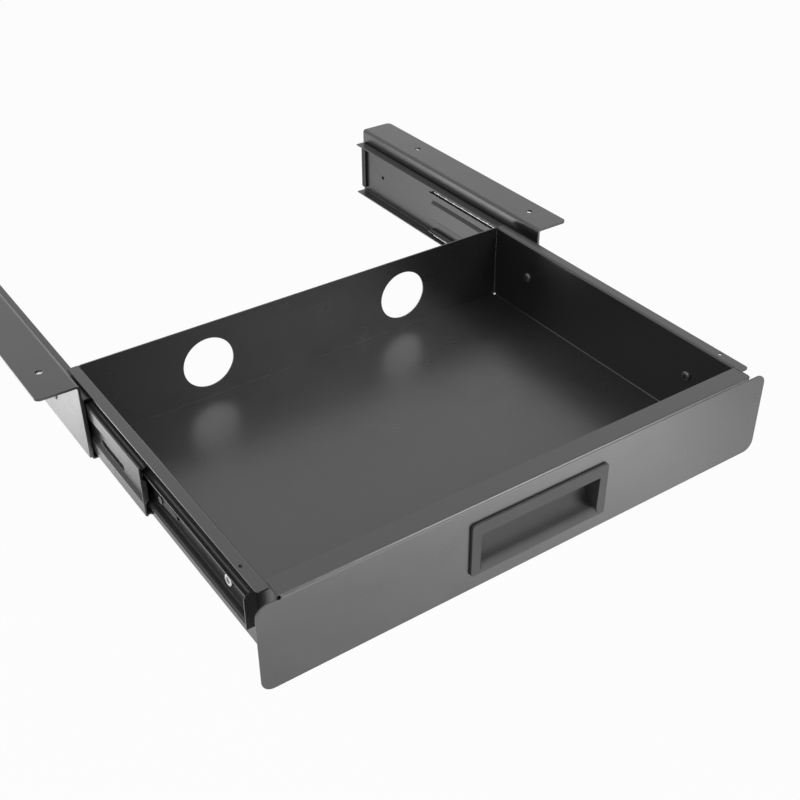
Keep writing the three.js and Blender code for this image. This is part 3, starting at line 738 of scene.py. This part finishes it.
def tray_holes(sizes, side):
    inside = TRAY_HIGH.x - sizes.rim_width
    top = TRAY_HIGH.z
    back = TRAY_HIGH.y
    middle = (PANEL_LOW.z + PANEL_HIGH.z) / 2
    cable = circle(side * sizes.cable_spacing / 2, middle, sizes.cable_hole / 2, 96)
    rim_x = side * (TRAY_HIGH.x - sizes.rim_hole_inset)
    rim = circle(rim_x, PANEL_FRONT + sizes.rim_hole_setback, sizes.rim_hole / 2)
    seam_x = side * (inside - sizes.seam / 2)
    seam = rectangle(seam_x - sizes.seam / 2, seam_x + sizes.seam / 2,
                     TRAY_LOW.z + sizes.sheet, top + OVERRUN)
    relief_at = inside - sizes.seam / 2
    relief = circle(side * relief_at, back - sizes.sheet - sizes.relief / 4, sizes.relief / 2)
    return [
        prism(cable, "Y", back - sizes.sheet - OVERRUN, back + OVERRUN),
        prism(rim, "Z", top - sizes.sheet - OVERRUN, top + OVERRUN),
        prism(seam, "Y", back - sizes.sheet - sizes.seam, back + OVERRUN),
        prism(relief, "Z", TRAY_LOW.z - OVERRUN, TRAY_LOW.z + 2 * sizes.sheet),
    ]


def make_tray(sizes):
    front, rim_room = tray_front(sizes)
    solids = [*tray_walls(sizes), *front, tray_back(sizes)]
    tools = [rim_room, *tray_holes(sizes, -1), *tray_holes(sizes, 1)]
    tray = carved("drawer_tray_folded", solids, tools, sizes.edge, finish_named("satin_black_coat"))
    belongs(tray, "drawer", "powder_coat", "drawer_tray")


def make_panel(sizes, handle):
    top = PANEL_TOP
    front = PANEL_FRONT
    inside = TRAY_HIGH.x - sizes.rim_width
    radii = (sizes.panel_corner,) * 4
    face = prism(rectangle(-HALF_PANEL, HALF_PANEL, PANEL_BOTTOM, top - sizes.ear_drop, radii, 16),
                 "Y", front, front + sizes.sheet)
    back = PANEL_HIGH.y
    bend_path = [(back, top), (front, top), (front, top - RIM_OVERLAP)]
    rim_half = inside + sizes.sheet / 2
    rim = prism(bent_sheet(bend_path, sizes.sheet, sizes.bend, 8), "X", -rim_half, rim_half)
    wall_path = [(back, TRAY_LOW.z + sizes.sheet), (back, top), (back - FOLD_OVERLAP, top)]
    wall = prism(bent_sheet(wall_path, sizes.sheet, sizes.bend, 8), "X", -inside, inside)
    opening = cup_outline(handle, handle.wall + CUP_CLEARANCE)
    tools = [prism(opening, "Y", front - OVERRUN, front + sizes.sheet + OVERRUN)]
    for side in (-1, 1):
        hole = circle(side * inside, PANEL_BOTTOM + sizes.relief_height, sizes.relief / 2)
        tools.append(prism(hole, "Y", front - OVERRUN, front + sizes.sheet + OVERRUN))
    panel = carved("front_panel_folded", [face, rim, wall], tools, sizes.edge,
                   finish_named("satin_black_coat"))
    belongs(panel, "drawer", "powder_coat", "front_panel")


def cup_outline(handle, margin, corner=CUP_ROUND):
    centre = (BEZEL_LOW.z + BEZEL_HIGH.z) / 2 - handle.opening_drop
    half_width = handle.opening_width / 2 + margin
    half_height = handle.opening_height / 2 + margin
    return rectangle(-half_width, half_width, centre - half_height, centre + half_height, (corner,) * 4)


def pocket_section(handle):
    """A rounded lower lip, a wide scoop from the cup's floor to its back, and a small upper round."""
    front = BEZEL_LOW.y
    centre = (BEZEL_LOW.z + BEZEL_HIGH.z) / 2 - handle.opening_drop
    low = centre - handle.opening_height / 2
    high = centre + handle.opening_height / 2
    back = BEZEL_HIGH.y - handle.wall
    mouth, back_low, back_high = Vector((front, low)), Vector((back, low)), Vector((back, high))
    return [
        Vector((front - OVERRUN, high)),
        Vector((front - OVERRUN, low - handle.lip)),
        *corner_arc(Vector((front, low - handle.lip)), mouth, back_low, handle.lip, 8),
        *corner_arc(mouth, back_low, back_high, handle.scoop, 16),
        *corner_arc(back_low, back_high, Vector((front, high)), CUP_ROUND, 6),
    ]


def cup_section(handle):
    """The outside of the cup, seen along its width."""
    centre = (BEZEL_LOW.z + BEZEL_HIGH.z) / 2 - handle.opening_drop
    half_height = handle.opening_height / 2 + handle.wall
    radii = (0, handle.scoop + handle.wall, CUP_ROUND, 0)
    return rectangle(BEZEL_LOW.y + handle.bezel / 2, BEZEL_HIGH.y, centre - half_height, centre + half_height,
                     radii, 12)


def make_handle(handle):
    front = BEZEL_LOW.y
    finish = finish_named("grained_handle")
    outline = rectangle(BEZEL_LOW.x, BEZEL_HIGH.x, BEZEL_LOW.z, BEZEL_HIGH.z, (handle.bezel_corner,) * 4)
    bezel = prism(outline, "Y", front, front + handle.bezel)
    half_cup = handle.opening_width / 2 + handle.wall
    cup = prism(cup_section(handle), "X", -half_cup, half_cup)
    pocket = prism(pocket_section(handle), "X", -handle.opening_width / 2, handle.opening_width / 2)
    moulded = carved("handle_moulded", [bezel, cup], [pocket], handle.bezel_edge, finish, segments=3)
    belongs(moulded, "drawer", "handle_plastic", "handle_cup")


# Pieces of the brackets and slides

def across(side, inwards):
    """X of a place that lies inwards from the bracket's outer face."""
    return side * (HALF_PANEL - inwards)


def section(side, path, thickness, bend, steps=6):
    """A bent section given by places inwards from the bracket's outer face."""
    return [Vector((across(side, point.x), point.y)) for point in bent_sheet(path, thickness, bend, steps)]


def make_bracket(name, side, sizes):
    top = BRACKET_HIGH.z
    bottom = BRACKET_LOW.z
    front = BRACKET_LOW.y
    back = BRACKET_HIGH.y
    reach = BRACKET_LOW.x + HALF_PANEL
    path = [(sizes.bracket_sheet, bottom), (sizes.bracket_sheet, top), (reach, top)]
    angle = prism(section(side, path, sizes.bracket_sheet, sizes.bracket_bend, 8), "Y", front, back)
    tools = []
    radius = sizes.bracket_corner
    for y, inward in ((front, 1), (back, -1)):
        outer_x = across(side, reach)
        tools.append(corner_tool(outer_x, y, -side, inward, radius, "Z",
                                 top - 3 * sizes.bracket_sheet, top + OVERRUN))
        low = min(across(side, 0), across(side, sizes.bracket_sheet)) - OVERRUN
        high = max(across(side, 0), across(side, sizes.bracket_sheet)) + OVERRUN
        tools.append(corner_tool(y, bottom, inward, 1, sizes.plate_corner, "X", low, high))
    for step in range(2):
        y = front + sizes.mounting_setback + step * sizes.mounting_spacing
        hole = circle(across(side, reach / 2), y, sizes.mounting_hole / 2)
        tools.append(prism(hole, "Z", top - 2 * sizes.bracket_sheet, top + OVERRUN))
    bracket = carved(f"{name}_bracket_bent", [angle], tools, 1.5 * sizes.edge,
                     finish_named("satin_black_coat"))
    belongs(bracket, "root", "powder_coat", f"{name}_bracket")


def corner_tool(a, b, to_a, to_b, radius, axis, low, high):
    """What is cut off to round the corner at a, b, whose sheet lies towards to_a and to_b."""
    centre = Vector((a + to_a * radius, b + to_b * radius))
    arc = []
    for turn in QUARTER_TURN:
        arc.append(centre - Vector((to_a * radius * math.cos(turn), to_b * radius * math.sin(turn))))
    out = 2 * OVERRUN
    outline = [*arc, Vector((centre.x, b - to_b * out)), Vector((a - to_a * out, b - to_b * out)),
               Vector((a - to_a * out, centre.y))]
    return prism(outline, axis, low, high)


def make_cabinet_member(name, side, sizes):
    face = CABINET_LOW.x + HALF_PANEL
    depth = CABINET_HIGH.x - CABINET_LOW.x
    path = [(face + depth, CABINET_HIGH.z), (face, CABINET_HIGH.z), (face, CABINET_LOW.z),
            (face + depth, CABINET_LOW.z)]
    body = prism(section(side, path, sizes.sheet, sizes.bend), "Y", CABINET_LOW.y, CABINET_HIGH.y)
    member = carved(f"{name}_cabinet_member_rolled", [body], [], CABINET_EDGE,
                    finish_named("smooth_slide_coat"))
    belongs(member, "root", "slide_coat", f"{name}_cabinet_slide_member")


def grooved_flange(edge, web, groove, rise, side, sizes):
    """One flange with its ball groove, from its free edge to the web."""
    to_web = math.copysign(1, web - edge)
    level = SLIDE_Z + side * rise
    bottom = level - side * sizes.groove_depth
    half = to_web * sizes.groove_width / 2
    return [(edge, level), (groove - half, level), (groove - half / 2, bottom), (groove + half / 2, bottom),
            (groove + half, level), (web, level)]


def make_middle_member(name, side, sizes):
    face = MIDDLE_LOW.x + HALF_PANEL
    edge = MIDDLE_HIGH.x + HALF_PANEL
    groove = CABINET_LOW.x + HALF_PANEL + sizes.outer_track
    half = (MIDDLE_HIGH.z - MIDDLE_LOW.z) / 2
    web_half = sizes.web_height / 2
    web = face + sizes.web_step
    path = [
        *grooved_flange(edge, face, groove, half, 1, sizes),
        (face, SLIDE_Z + web_half),
        (web, SLIDE_Z + web_half - sizes.web_slope),
        (web, SLIDE_Z - web_half + sizes.web_slope),
        (face, SLIDE_Z - web_half),
        *grooved_flange(edge, face, groove, half, -1, sizes)[::-1],
    ]
    bar = prism(section(side, path, sizes.sheet, sizes.sheet), "Y", MIDDLE_LOW.y, MIDDLE_HIGH.y)
    low = min(across(side, face), across(side, edge)) - OVERRUN
    high = max(across(side, face), across(side, edge)) + OVERRUN
    slot_front = MIDDLE_LOW.y + sizes.slot_setback
    slot_low = SLIDE_Z - sizes.slot_drop - sizes.slot_height / 2
    slot = rectangle(slot_front, slot_front + sizes.slot_length, slot_low, slot_low + sizes.slot_height,
                     (sizes.slot_height / 2 - SLOT_FLAT,) * 4)
    lug_half = web_half - sizes.sheet
    lug_sides = sorted((across(side, face), across(side, web + sizes.sheet / 2)))
    lug = prism(rectangle(*lug_sides, SLIDE_Z - lug_half, SLIDE_Z + lug_half), "Y",
                MIDDLE_LOW.y, MIDDLE_LOW.y + sizes.sheet)
    member = carved(f"{name}_middle_member_rolled", [bar, lug], [prism(slot, "X", low, high)], MEMBER_EDGE,
                    finish_named("smooth_slide_coat"))
    belongs(member, f"{name}_middle", "slide_coat", f"{name}_middle_slide_member")


def make_drawer_member(name, side, sizes):
    edge = INNER_LOW.x + HALF_PANEL
    back = INNER_HIGH.x + HALF_PANEL
    flange_edge = back - sizes.flange_depth
    groove = CABINET_LOW.x + HALF_PANEL + sizes.inner_track
    half = (INNER_HIGH.z - INNER_LOW.z) / 2
    path = [
        *grooved_flange(flange_edge, back, groove, half, -1, sizes),
        *grooved_flange(flange_edge, back, groove, half, 1, sizes)[::-1],
    ]
    bar = prism(section(side, path, sizes.sheet, sizes.bend), "Y", INNER_LOW.y, INNER_HIGH.y)
    bevel = sizes.plate_bevel
    corners = [(edge, INNER_LOW.z), (back, INNER_LOW.z), (back, INNER_HIGH.z), (edge + bevel, INNER_HIGH.z),
               (edge, INNER_HIGH.z - bevel)]
    outline = [Vector((across(side, u), z)) for u, z in corners]
    plate = prism(outline, "Y", INNER_LOW.y, INNER_LOW.y + sizes.sheet)
    member = carved(f"{name}_drawer_member_rolled", [bar, plate], [], MEMBER_EDGE,
                    finish_named("smooth_slide_coat"))
    belongs(member, "drawer", "slide_coat", f"{name}_drawer_slide_member")


def make_lever(name, side):
    low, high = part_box(f"{name}_release_lever")
    eye = (high.z - low.z) / 2
    pivot = high.y - eye
    corners = [Vector((low.y, SLIDE_Z - LEVER_TIP)), Vector((pivot, SLIDE_Z - eye)),
               Vector((pivot, SLIDE_Z + eye)), Vector((low.y, SLIDE_Z + LEVER_TIP))]
    arm = prism(rounded_line(corners, (LEVER_TIP_ROUND, 0, 0, LEVER_TIP_ROUND), True), "X", low.x, high.x)
    ring = prism(circle(pivot, SLIDE_Z, eye), "X", low.x, high.x)
    bore = prism(circle(pivot, SLIDE_Z, LEVER_BORE), "X", low.x - OVERRUN, high.x + OVERRUN)
    lever = carved(f"{name}_release_lever_moulded", [arm, ring], [bore], LEVER_EDGE,
                   finish_named("black_moulding"))
    belongs(lever, f"{name}_lever", "black_plastic", f"{name}_release_lever")


def cage_strip(side, path, low, high, sheet):
    return prism(section(side, path, sheet, 0), "Y", low, high)


def make_cage(name, kind, side, path, track, rise, radius, sizes):
    """A bent strip and its two rows of balls."""
    low, high = (OUTER_CAGE_LOW, OUTER_CAGE_HIGH) if kind == "outer" else (INNER_CAGE_LOW, INNER_CAGE_HIGH)
    strip = cage_strip(side, path, low.y, high.y, CAGE_SHEET)
    count = sizes.ball_count
    pitch = (high.y - low.y) / count
    tree, sockets = balls_tree()
    values = {
        "Count": count,
        "First": (across(side, track), low.y + pitch / 2, SLIDE_Z),
        "Pitch": (0, pitch, 0),
        "Rise": (0, 0, rise),
        "Radius": radius,
        "Finish": finish_named("oiled_steel"),
    }
    cage = grown(f"{name}_{kind}_cage_with_balls", strip, tree, sockets, values)
    belongs(cage, f"{name}_{kind}_cage", "ball_steel", f"{name}_{kind}_ball_cage")


def make_outer_cage(name, side, sizes):
    track = CABINET_LOW.x + HALF_PANEL + sizes.outer_track
    low = (MIDDLE_HIGH.z - MIDDLE_LOW.z) / 2 - sizes.groove_depth
    high = (CABINET_HIGH.z - CABINET_LOW.z) / 2 - sizes.sheet
    rise = (low + high) / 2
    leg = rise + CAGE_LEG
    face = OUTER_CAGE_LOW.x + HALF_PANEL
    end = OUTER_CAGE_HIGH.x + HALF_PANEL
    path = [(end, SLIDE_Z + leg), (face, SLIDE_Z + leg), (face, SLIDE_Z - leg), (end, SLIDE_Z - leg)]
    make_cage(name, "outer", side, path, track, rise, (high - low) / 2 - BALL_CLEARANCE, sizes)


def make_inner_cage(name, side, sizes):
    track = CABINET_LOW.x + HALF_PANEL + sizes.inner_track
    low = (INNER_HIGH.z - INNER_LOW.z) / 2 - sizes.groove_depth
    high = (MIDDLE_HIGH.z - MIDDLE_LOW.z) / 2 - sizes.sheet
    rise = (low + high) / 2
    leg = rise + CAGE_LEG
    face = INNER_CAGE_LOW.x + HALF_PANEL
    hat = face + sizes.web_step
    hat_rise = sizes.web_height / 2 + sizes.sheet
    end = INNER_CAGE_HIGH.x + HALF_PANEL
    path = [(end, SLIDE_Z + leg), (face, SLIDE_Z + leg),
            (face, SLIDE_Z + hat_rise), (hat, SLIDE_Z + hat_rise),
            (hat, SLIDE_Z - hat_rise), (face, SLIDE_Z - hat_rise),
            (face, SLIDE_Z - leg), (end, SLIDE_Z - leg)]
    make_cage(name, "inner", side, path, track, rise, (high - low) / 2 - BALL_CLEARANCE, sizes)


# Fasteners

def screw_shape(length, head_radius):
    """A pan-head screw along X, head last, with a cross recess."""
    neck = length - SCREW_HEAD
    profile = [(0, 0), (0, SCREW_SHANK), (neck, SCREW_SHANK), (neck, head_radius),
               (length - 0.5 * SCREW_HEAD, 0.97 * head_radius),
               (length - 0.2 * SCREW_HEAD, 0.8 * head_radius),
               (length, 0.5 * head_radius), (length, 0)]
    screw = turned(profile, "X", (0, 0, 0))
    tools = []
    for width, height in ((CROSS_WIDTH, CROSS_LENGTH), (CROSS_LENGTH, CROSS_WIDTH)):
        cross = rectangle(-width / 2, width / 2, -height / 2, height / 2)
        tools.append(prism(cross, "X", length - 0.7 * SCREW_HEAD, length + OVERRUN))
    return carved("screw_shape", [screw], tools, SCREW_EDGE, finish_named("dark_zinc"))


def nut_shape(depth, radius):
    """A round clinch nut along X, with its bore."""
    profile = [(0, NUT_BORE + NUT_LEAD), (0, radius - 0.5 * MM), (0.2 * MM, radius - 0.15 * MM),
               (0.6 * MM, radius), (depth, radius), (depth, NUT_BORE), (NUT_LEAD, NUT_BORE),
               (0, NUT_BORE + NUT_LEAD)]
    return carved("nut_shape", [turned(profile, "X", (0, 0, 0))], [], 0, finish_named("bright_zinc"))


def rivet_shape(length, radius):
    """A domed rivet along X, head first."""
    dome = [(RIVET_HEAD * (1 - math.cos(turn)), radius * math.sin(turn)) for turn in QUARTER_TURN]
    profile = [*dome, (RIVET_HEAD, RIVET_SHANK), (length, RIVET_SHANK), (length, 0)]
    return carved("rivet_shape", [turned(profile, "X", (0, 0, 0))], [], 0, finish_named("satin_black_coat"))


# The nodes of one side, the shape, the piece's name, its body, its slot and its finish
FASTENERS = (
    (("front_slide_screw", "rear_slide_screw"), screw_shape,
     "slide_screws_panhead", "drawer", "dark_zinc", "dark_zinc"),
    (("front_clinch_nut", "rear_clinch_nut"), nut_shape,
     "clinch_nuts_turned", "drawer", "zinc_plate", "bright_zinc"),
    (("bracket_rivet_1", "bracket_rivet_2", "bracket_rivet_3"), rivet_shape,
     "bracket_rivets_domed", "root", "powder_coat", "satin_black_coat"),
)


def make_fasteners(parts, shape_of, label, body, slot, finish):
    """The left and the right row of one kind of fastener."""
    for name, side in SIDES:
        nodes = [f"{name}_{part}" for part in parts]
        boxes = [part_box(node) for node in nodes]
        low, high = boxes[0]
        shape = shape_of(high.x - low.x, (high.z - low.z) / 2)
        turn = Euler((0, 0, 0 if side < 0 else math.pi))
        starts = [Vector((b[0].x if side < 0 else b[1].x, (b[0].y + b[1].y) / 2, SLIDE_Z)) for b in boxes]
        row = copies(f"{name}_{label}", shape, starts, turn, finish)
        belongs(row, body, slot, *nodes)


def paint_small_nodes():
    """The CAD nodes whose shape is right get a finish only."""
    for name, _ in SIDES:
        for part, finish in (("closing_buffer", "black_moulding"), ("lever_rivet", "dark_zinc")):
            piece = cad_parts[f"{name}_{part}"]
            piece.data.materials.clear()
            piece.data.materials.append(finish_named(finish))


# Stage

def background_mix(nodes, links, plain, white):
    """White for what the camera or a mirror sees, plain for all other rays."""
    path = nodes.new("ShaderNodeLightPath")
    seen = nodes.new("ShaderNodeMath")
    seen.operation = "MAXIMUM"
    links.new(path.outputs["Is Camera Ray"], seen.inputs[0])
    links.new(path.outputs["Is Glossy Ray"], seen.inputs[1])
    through = nodes.new("ShaderNodeMath")
    through.operation = "MAXIMUM"
    links.new(seen.outputs[0], through.inputs[0])
    links.new(path.outputs["Is Transmission Ray"], through.inputs[1])
    mix = nodes.new("ShaderNodeMixShader")
    links.new(through.outputs[0], mix.inputs["Fac"])
    links.new(plain, mix.inputs[1])
    links.new(white, mix.inputs[2])
    return mix.outputs[0]


def make_world(studio):
    world = bpy.data.worlds.new("studio_world")
    bpy.context.scene.world = world
    world.use_nodes = True
    nodes = world.node_tree.nodes
    links = world.node_tree.links
    plain = nodes["Background"]
    plain.inputs["Color"].default_value = (1, 1, 1, 1)
    plain.inputs["Strength"].default_value = studio.world_light
    white = nodes.new("ShaderNodeBackground")
    white.inputs["Color"].default_value = (1, 1, 1, 1)
    white.inputs["Strength"].default_value = 1
    mixed = background_mix(nodes, links, plain.outputs[0], white.outputs[0])
    links.new(mixed, nodes["World Output"].inputs["Surface"])


def make_floor(studio, colours):
    height = PANEL_BOTTOM - studio.floor_drop
    shape = bmesh.new()
    bmesh.ops.create_grid(shape, x_segments=1, y_segments=1, size=9)
    bmesh.ops.translate(shape, verts=shape.verts, vec=(0, 0, height))
    floor = solid_object(shape, "pale_floor")
    finish = bpy.data.materials.new("pale_floor")
    finish.use_nodes = True
    nodes = finish.node_tree.nodes
    links = finish.node_tree.links
    shader = nodes["Principled BSDF"]
    shader.inputs["Base Color"].default_value = (*colours.floor, 1)
    shader.inputs["Roughness"].default_value = 0.9
    shader.inputs["Specular IOR Level"].default_value = 0
    glow = nodes.new("ShaderNodeEmission")
    glow.inputs["Strength"].default_value = 1
    half = nodes.new("ShaderNodeMixShader")
    half.inputs["Fac"].default_value = 0.97
    links.new(shader.outputs[0], half.inputs[1])
    links.new(glow.outputs[0], half.inputs[2])
    mixed = background_mix(nodes, links, shader.outputs[0], half.outputs[0])
    links.new(mixed, nodes["Material Output"].inputs["Surface"])
    floor.data.materials.append(finish)


# Name, place, aim, diameter, power and spread in degrees of each lamp
LAMPS = (
    ("low_left_card", (-0.7, 0.75, -0.45), (-0.25, 0, -0.05), 0.6, 2.3, 180),
    ("low_front_card", (0.3, -1.2, -0.6), (0, -0.38, -0.05), 1.1, 8, 180),
    ("soft_top", (0, -0.3, 1.6), (0, -0.3, -0.05), 1.2, 3, 180),
    ("left_top", (-1, -0.6, 1), (-0.1, -0.3, -0.03), 0.5, 1.5, 180),
    ("edge_light", (0.5, -1.05, 0.6), (0, -0.39, -0.01), 0.5, 2, 180),
    ("bend_light", (0.5, -1.05, 0.6), (0.02, -0.46, -0.04), 0.6, 0.3, 40),
)


def make_lamp(name, place, target, size, power, spread_angle):
    data = bpy.data.lights.new(name, "AREA")
    data.shape = "DISK"
    data.size = size
    data.spread = math.radians(spread_angle)
    data.energy = power
    lamp = bpy.data.objects.new(name, data)
    lamp.location = place
    lamp.rotation_euler = (Vector(target) - Vector(place)).to_track_quat("-Z", "Y").to_euler()
    bpy.context.scene.collection.objects.link(lamp)


def make_camera(studio):
    data = bpy.data.cameras.new("camera")
    data.lens = studio.lens
    data.sensor_width = 36
    data.clip_start = 0.05
    camera = bpy.data.objects.new("camera", data)
    camera.location = studio.camera_place
    camera.rotation_euler = Euler(studio.camera_turn)
    bpy.context.scene.collection.objects.link(camera)
    bpy.context.scene.camera = camera


# Operators

class DRAWER_OT_stage(bpy.types.Operator):
    """Make the camera, the floor, the lamps and the world"""

    bl_idname = "drawer.stage"
    bl_label = "Stage"

    def execute(self, context):
        scene = context.scene
        scene.view_settings.view_transform = "Standard"
        make_camera(scene.drawer_studio)
        make_world(scene.drawer_studio)
        make_floor(scene.drawer_studio, scene.drawer_colours)
        for lamp in LAMPS:
            make_lamp(*lamp)
        return {"FINISHED"}


class DRAWER_OT_tray(bpy.types.Operator):
    """Make the folded tray"""

    bl_idname = "drawer.tray"
    bl_label = "Tray"

    def execute(self, context):
        make_tray(context.scene.drawer_sheet)
        return {"FINISHED"}


class DRAWER_OT_front(bpy.types.Operator):
    """Make the front panel with its rim"""

    bl_idname = "drawer.front"
    bl_label = "Front panel"

    def execute(self, context):
        make_panel(context.scene.drawer_sheet, context.scene.drawer_handle)
        return {"FINISHED"}


class DRAWER_OT_handle(bpy.types.Operator):
    """Make the recessed handle"""

    bl_idname = "drawer.handle"
    bl_label = "Handle"

    def execute(self, context):
        make_handle(context.scene.drawer_handle)
        return {"FINISHED"}


class DRAWER_OT_brackets(bpy.types.Operator):
    """Make both angle brackets"""

    bl_idname = "drawer.brackets"
    bl_label = "Brackets"

    def execute(self, context):
        for name, side in SIDES:
            make_bracket(name, side, context.scene.drawer_sheet)
        return {"FINISHED"}


class DRAWER_OT_slides(bpy.types.Operator):
    """Make the three members of both slides"""

    bl_idname = "drawer.slides"
    bl_label = "Slides"

    def execute(self, context):
        sizes = context.scene.drawer_slides
        for name, side in SIDES:
            make_cabinet_member(name, side, sizes)
            make_middle_member(name, side, sizes)
            make_drawer_member(name, side, sizes)
            make_lever(name, side)
        return {"FINISHED"}


class DRAWER_OT_cages(bpy.types.Operator):
    """Make the ball cages with their balls"""

    bl_idname = "drawer.cages"
    bl_label = "Ball cages"

    def execute(self, context):
        sizes = context.scene.drawer_slides
        for name, side in SIDES:
            make_outer_cage(name, side, sizes)
            make_inner_cage(name, side, sizes)
        return {"FINISHED"}


class DRAWER_OT_fasteners(bpy.types.Operator):
    """Make the screws, nuts and rivets"""

    bl_idname = "drawer.fasteners"
    bl_label = "Fasteners"

    def execute(self, context):
        for row in FASTENERS:
            make_fasteners(*row)
        paint_small_nodes()
        return {"FINISHED"}


class DRAWER_PT_panel(bpy.types.Panel):
    """Lists the pieces and their sizes"""

    bl_idname = "DRAWER_PT_panel"
    bl_label = "Under-desk drawer"
    bl_space_type = "VIEW_3D"
    bl_region_type = "UI"
    bl_category = "Drawer"

    def draw(self, context):
        layout = self.layout
        for operator in OPERATORS:
            layout.operator(operator.bl_idname)
        for label in GROUPS:
            group = getattr(context.scene, label)
            for name in group.__annotations__:
                layout.prop(group, name)


OPERATORS = (DRAWER_OT_stage, DRAWER_OT_tray, DRAWER_OT_front, DRAWER_OT_handle, DRAWER_OT_brackets,
             DRAWER_OT_slides, DRAWER_OT_cages, DRAWER_OT_fasteners)
GROUPS = {
    "drawer_sheet": SheetSizes,
    "drawer_handle": HandleSizes,
    "drawer_slides": SlideSizes,
    "drawer_colours": FinishColours,
    "drawer_studio": StudioSettings,
}


def register():
    for group in GROUPS.values():
        bpy.utils.register_class(group)
    for label, group in GROUPS.items():
        setattr(bpy.types.Scene, label, bpy.props.PointerProperty(type=group))
    for operator in OPERATORS:
        bpy.utils.register_class(operator)
    bpy.utils.register_class(DRAWER_PT_panel)


def unregister():
    bpy.utils.unregister_class(DRAWER_PT_panel)
    for operator in reversed(OPERATORS):
        bpy.utils.unregister_class(operator)
    for label, group in GROUPS.items():
        delattr(bpy.types.Scene, label)
        bpy.utils.unregister_class(group)


def main():
    register()
    bpy.ops.drawer.stage()
    bpy.ops.drawer.tray()
    bpy.ops.drawer.front()
    bpy.ops.drawer.handle()
    bpy.ops.drawer.brackets()
    bpy.ops.drawer.slides()
    bpy.ops.drawer.cages()
    bpy.ops.drawer.fasteners()


if __name__ == "__main__":
    main()
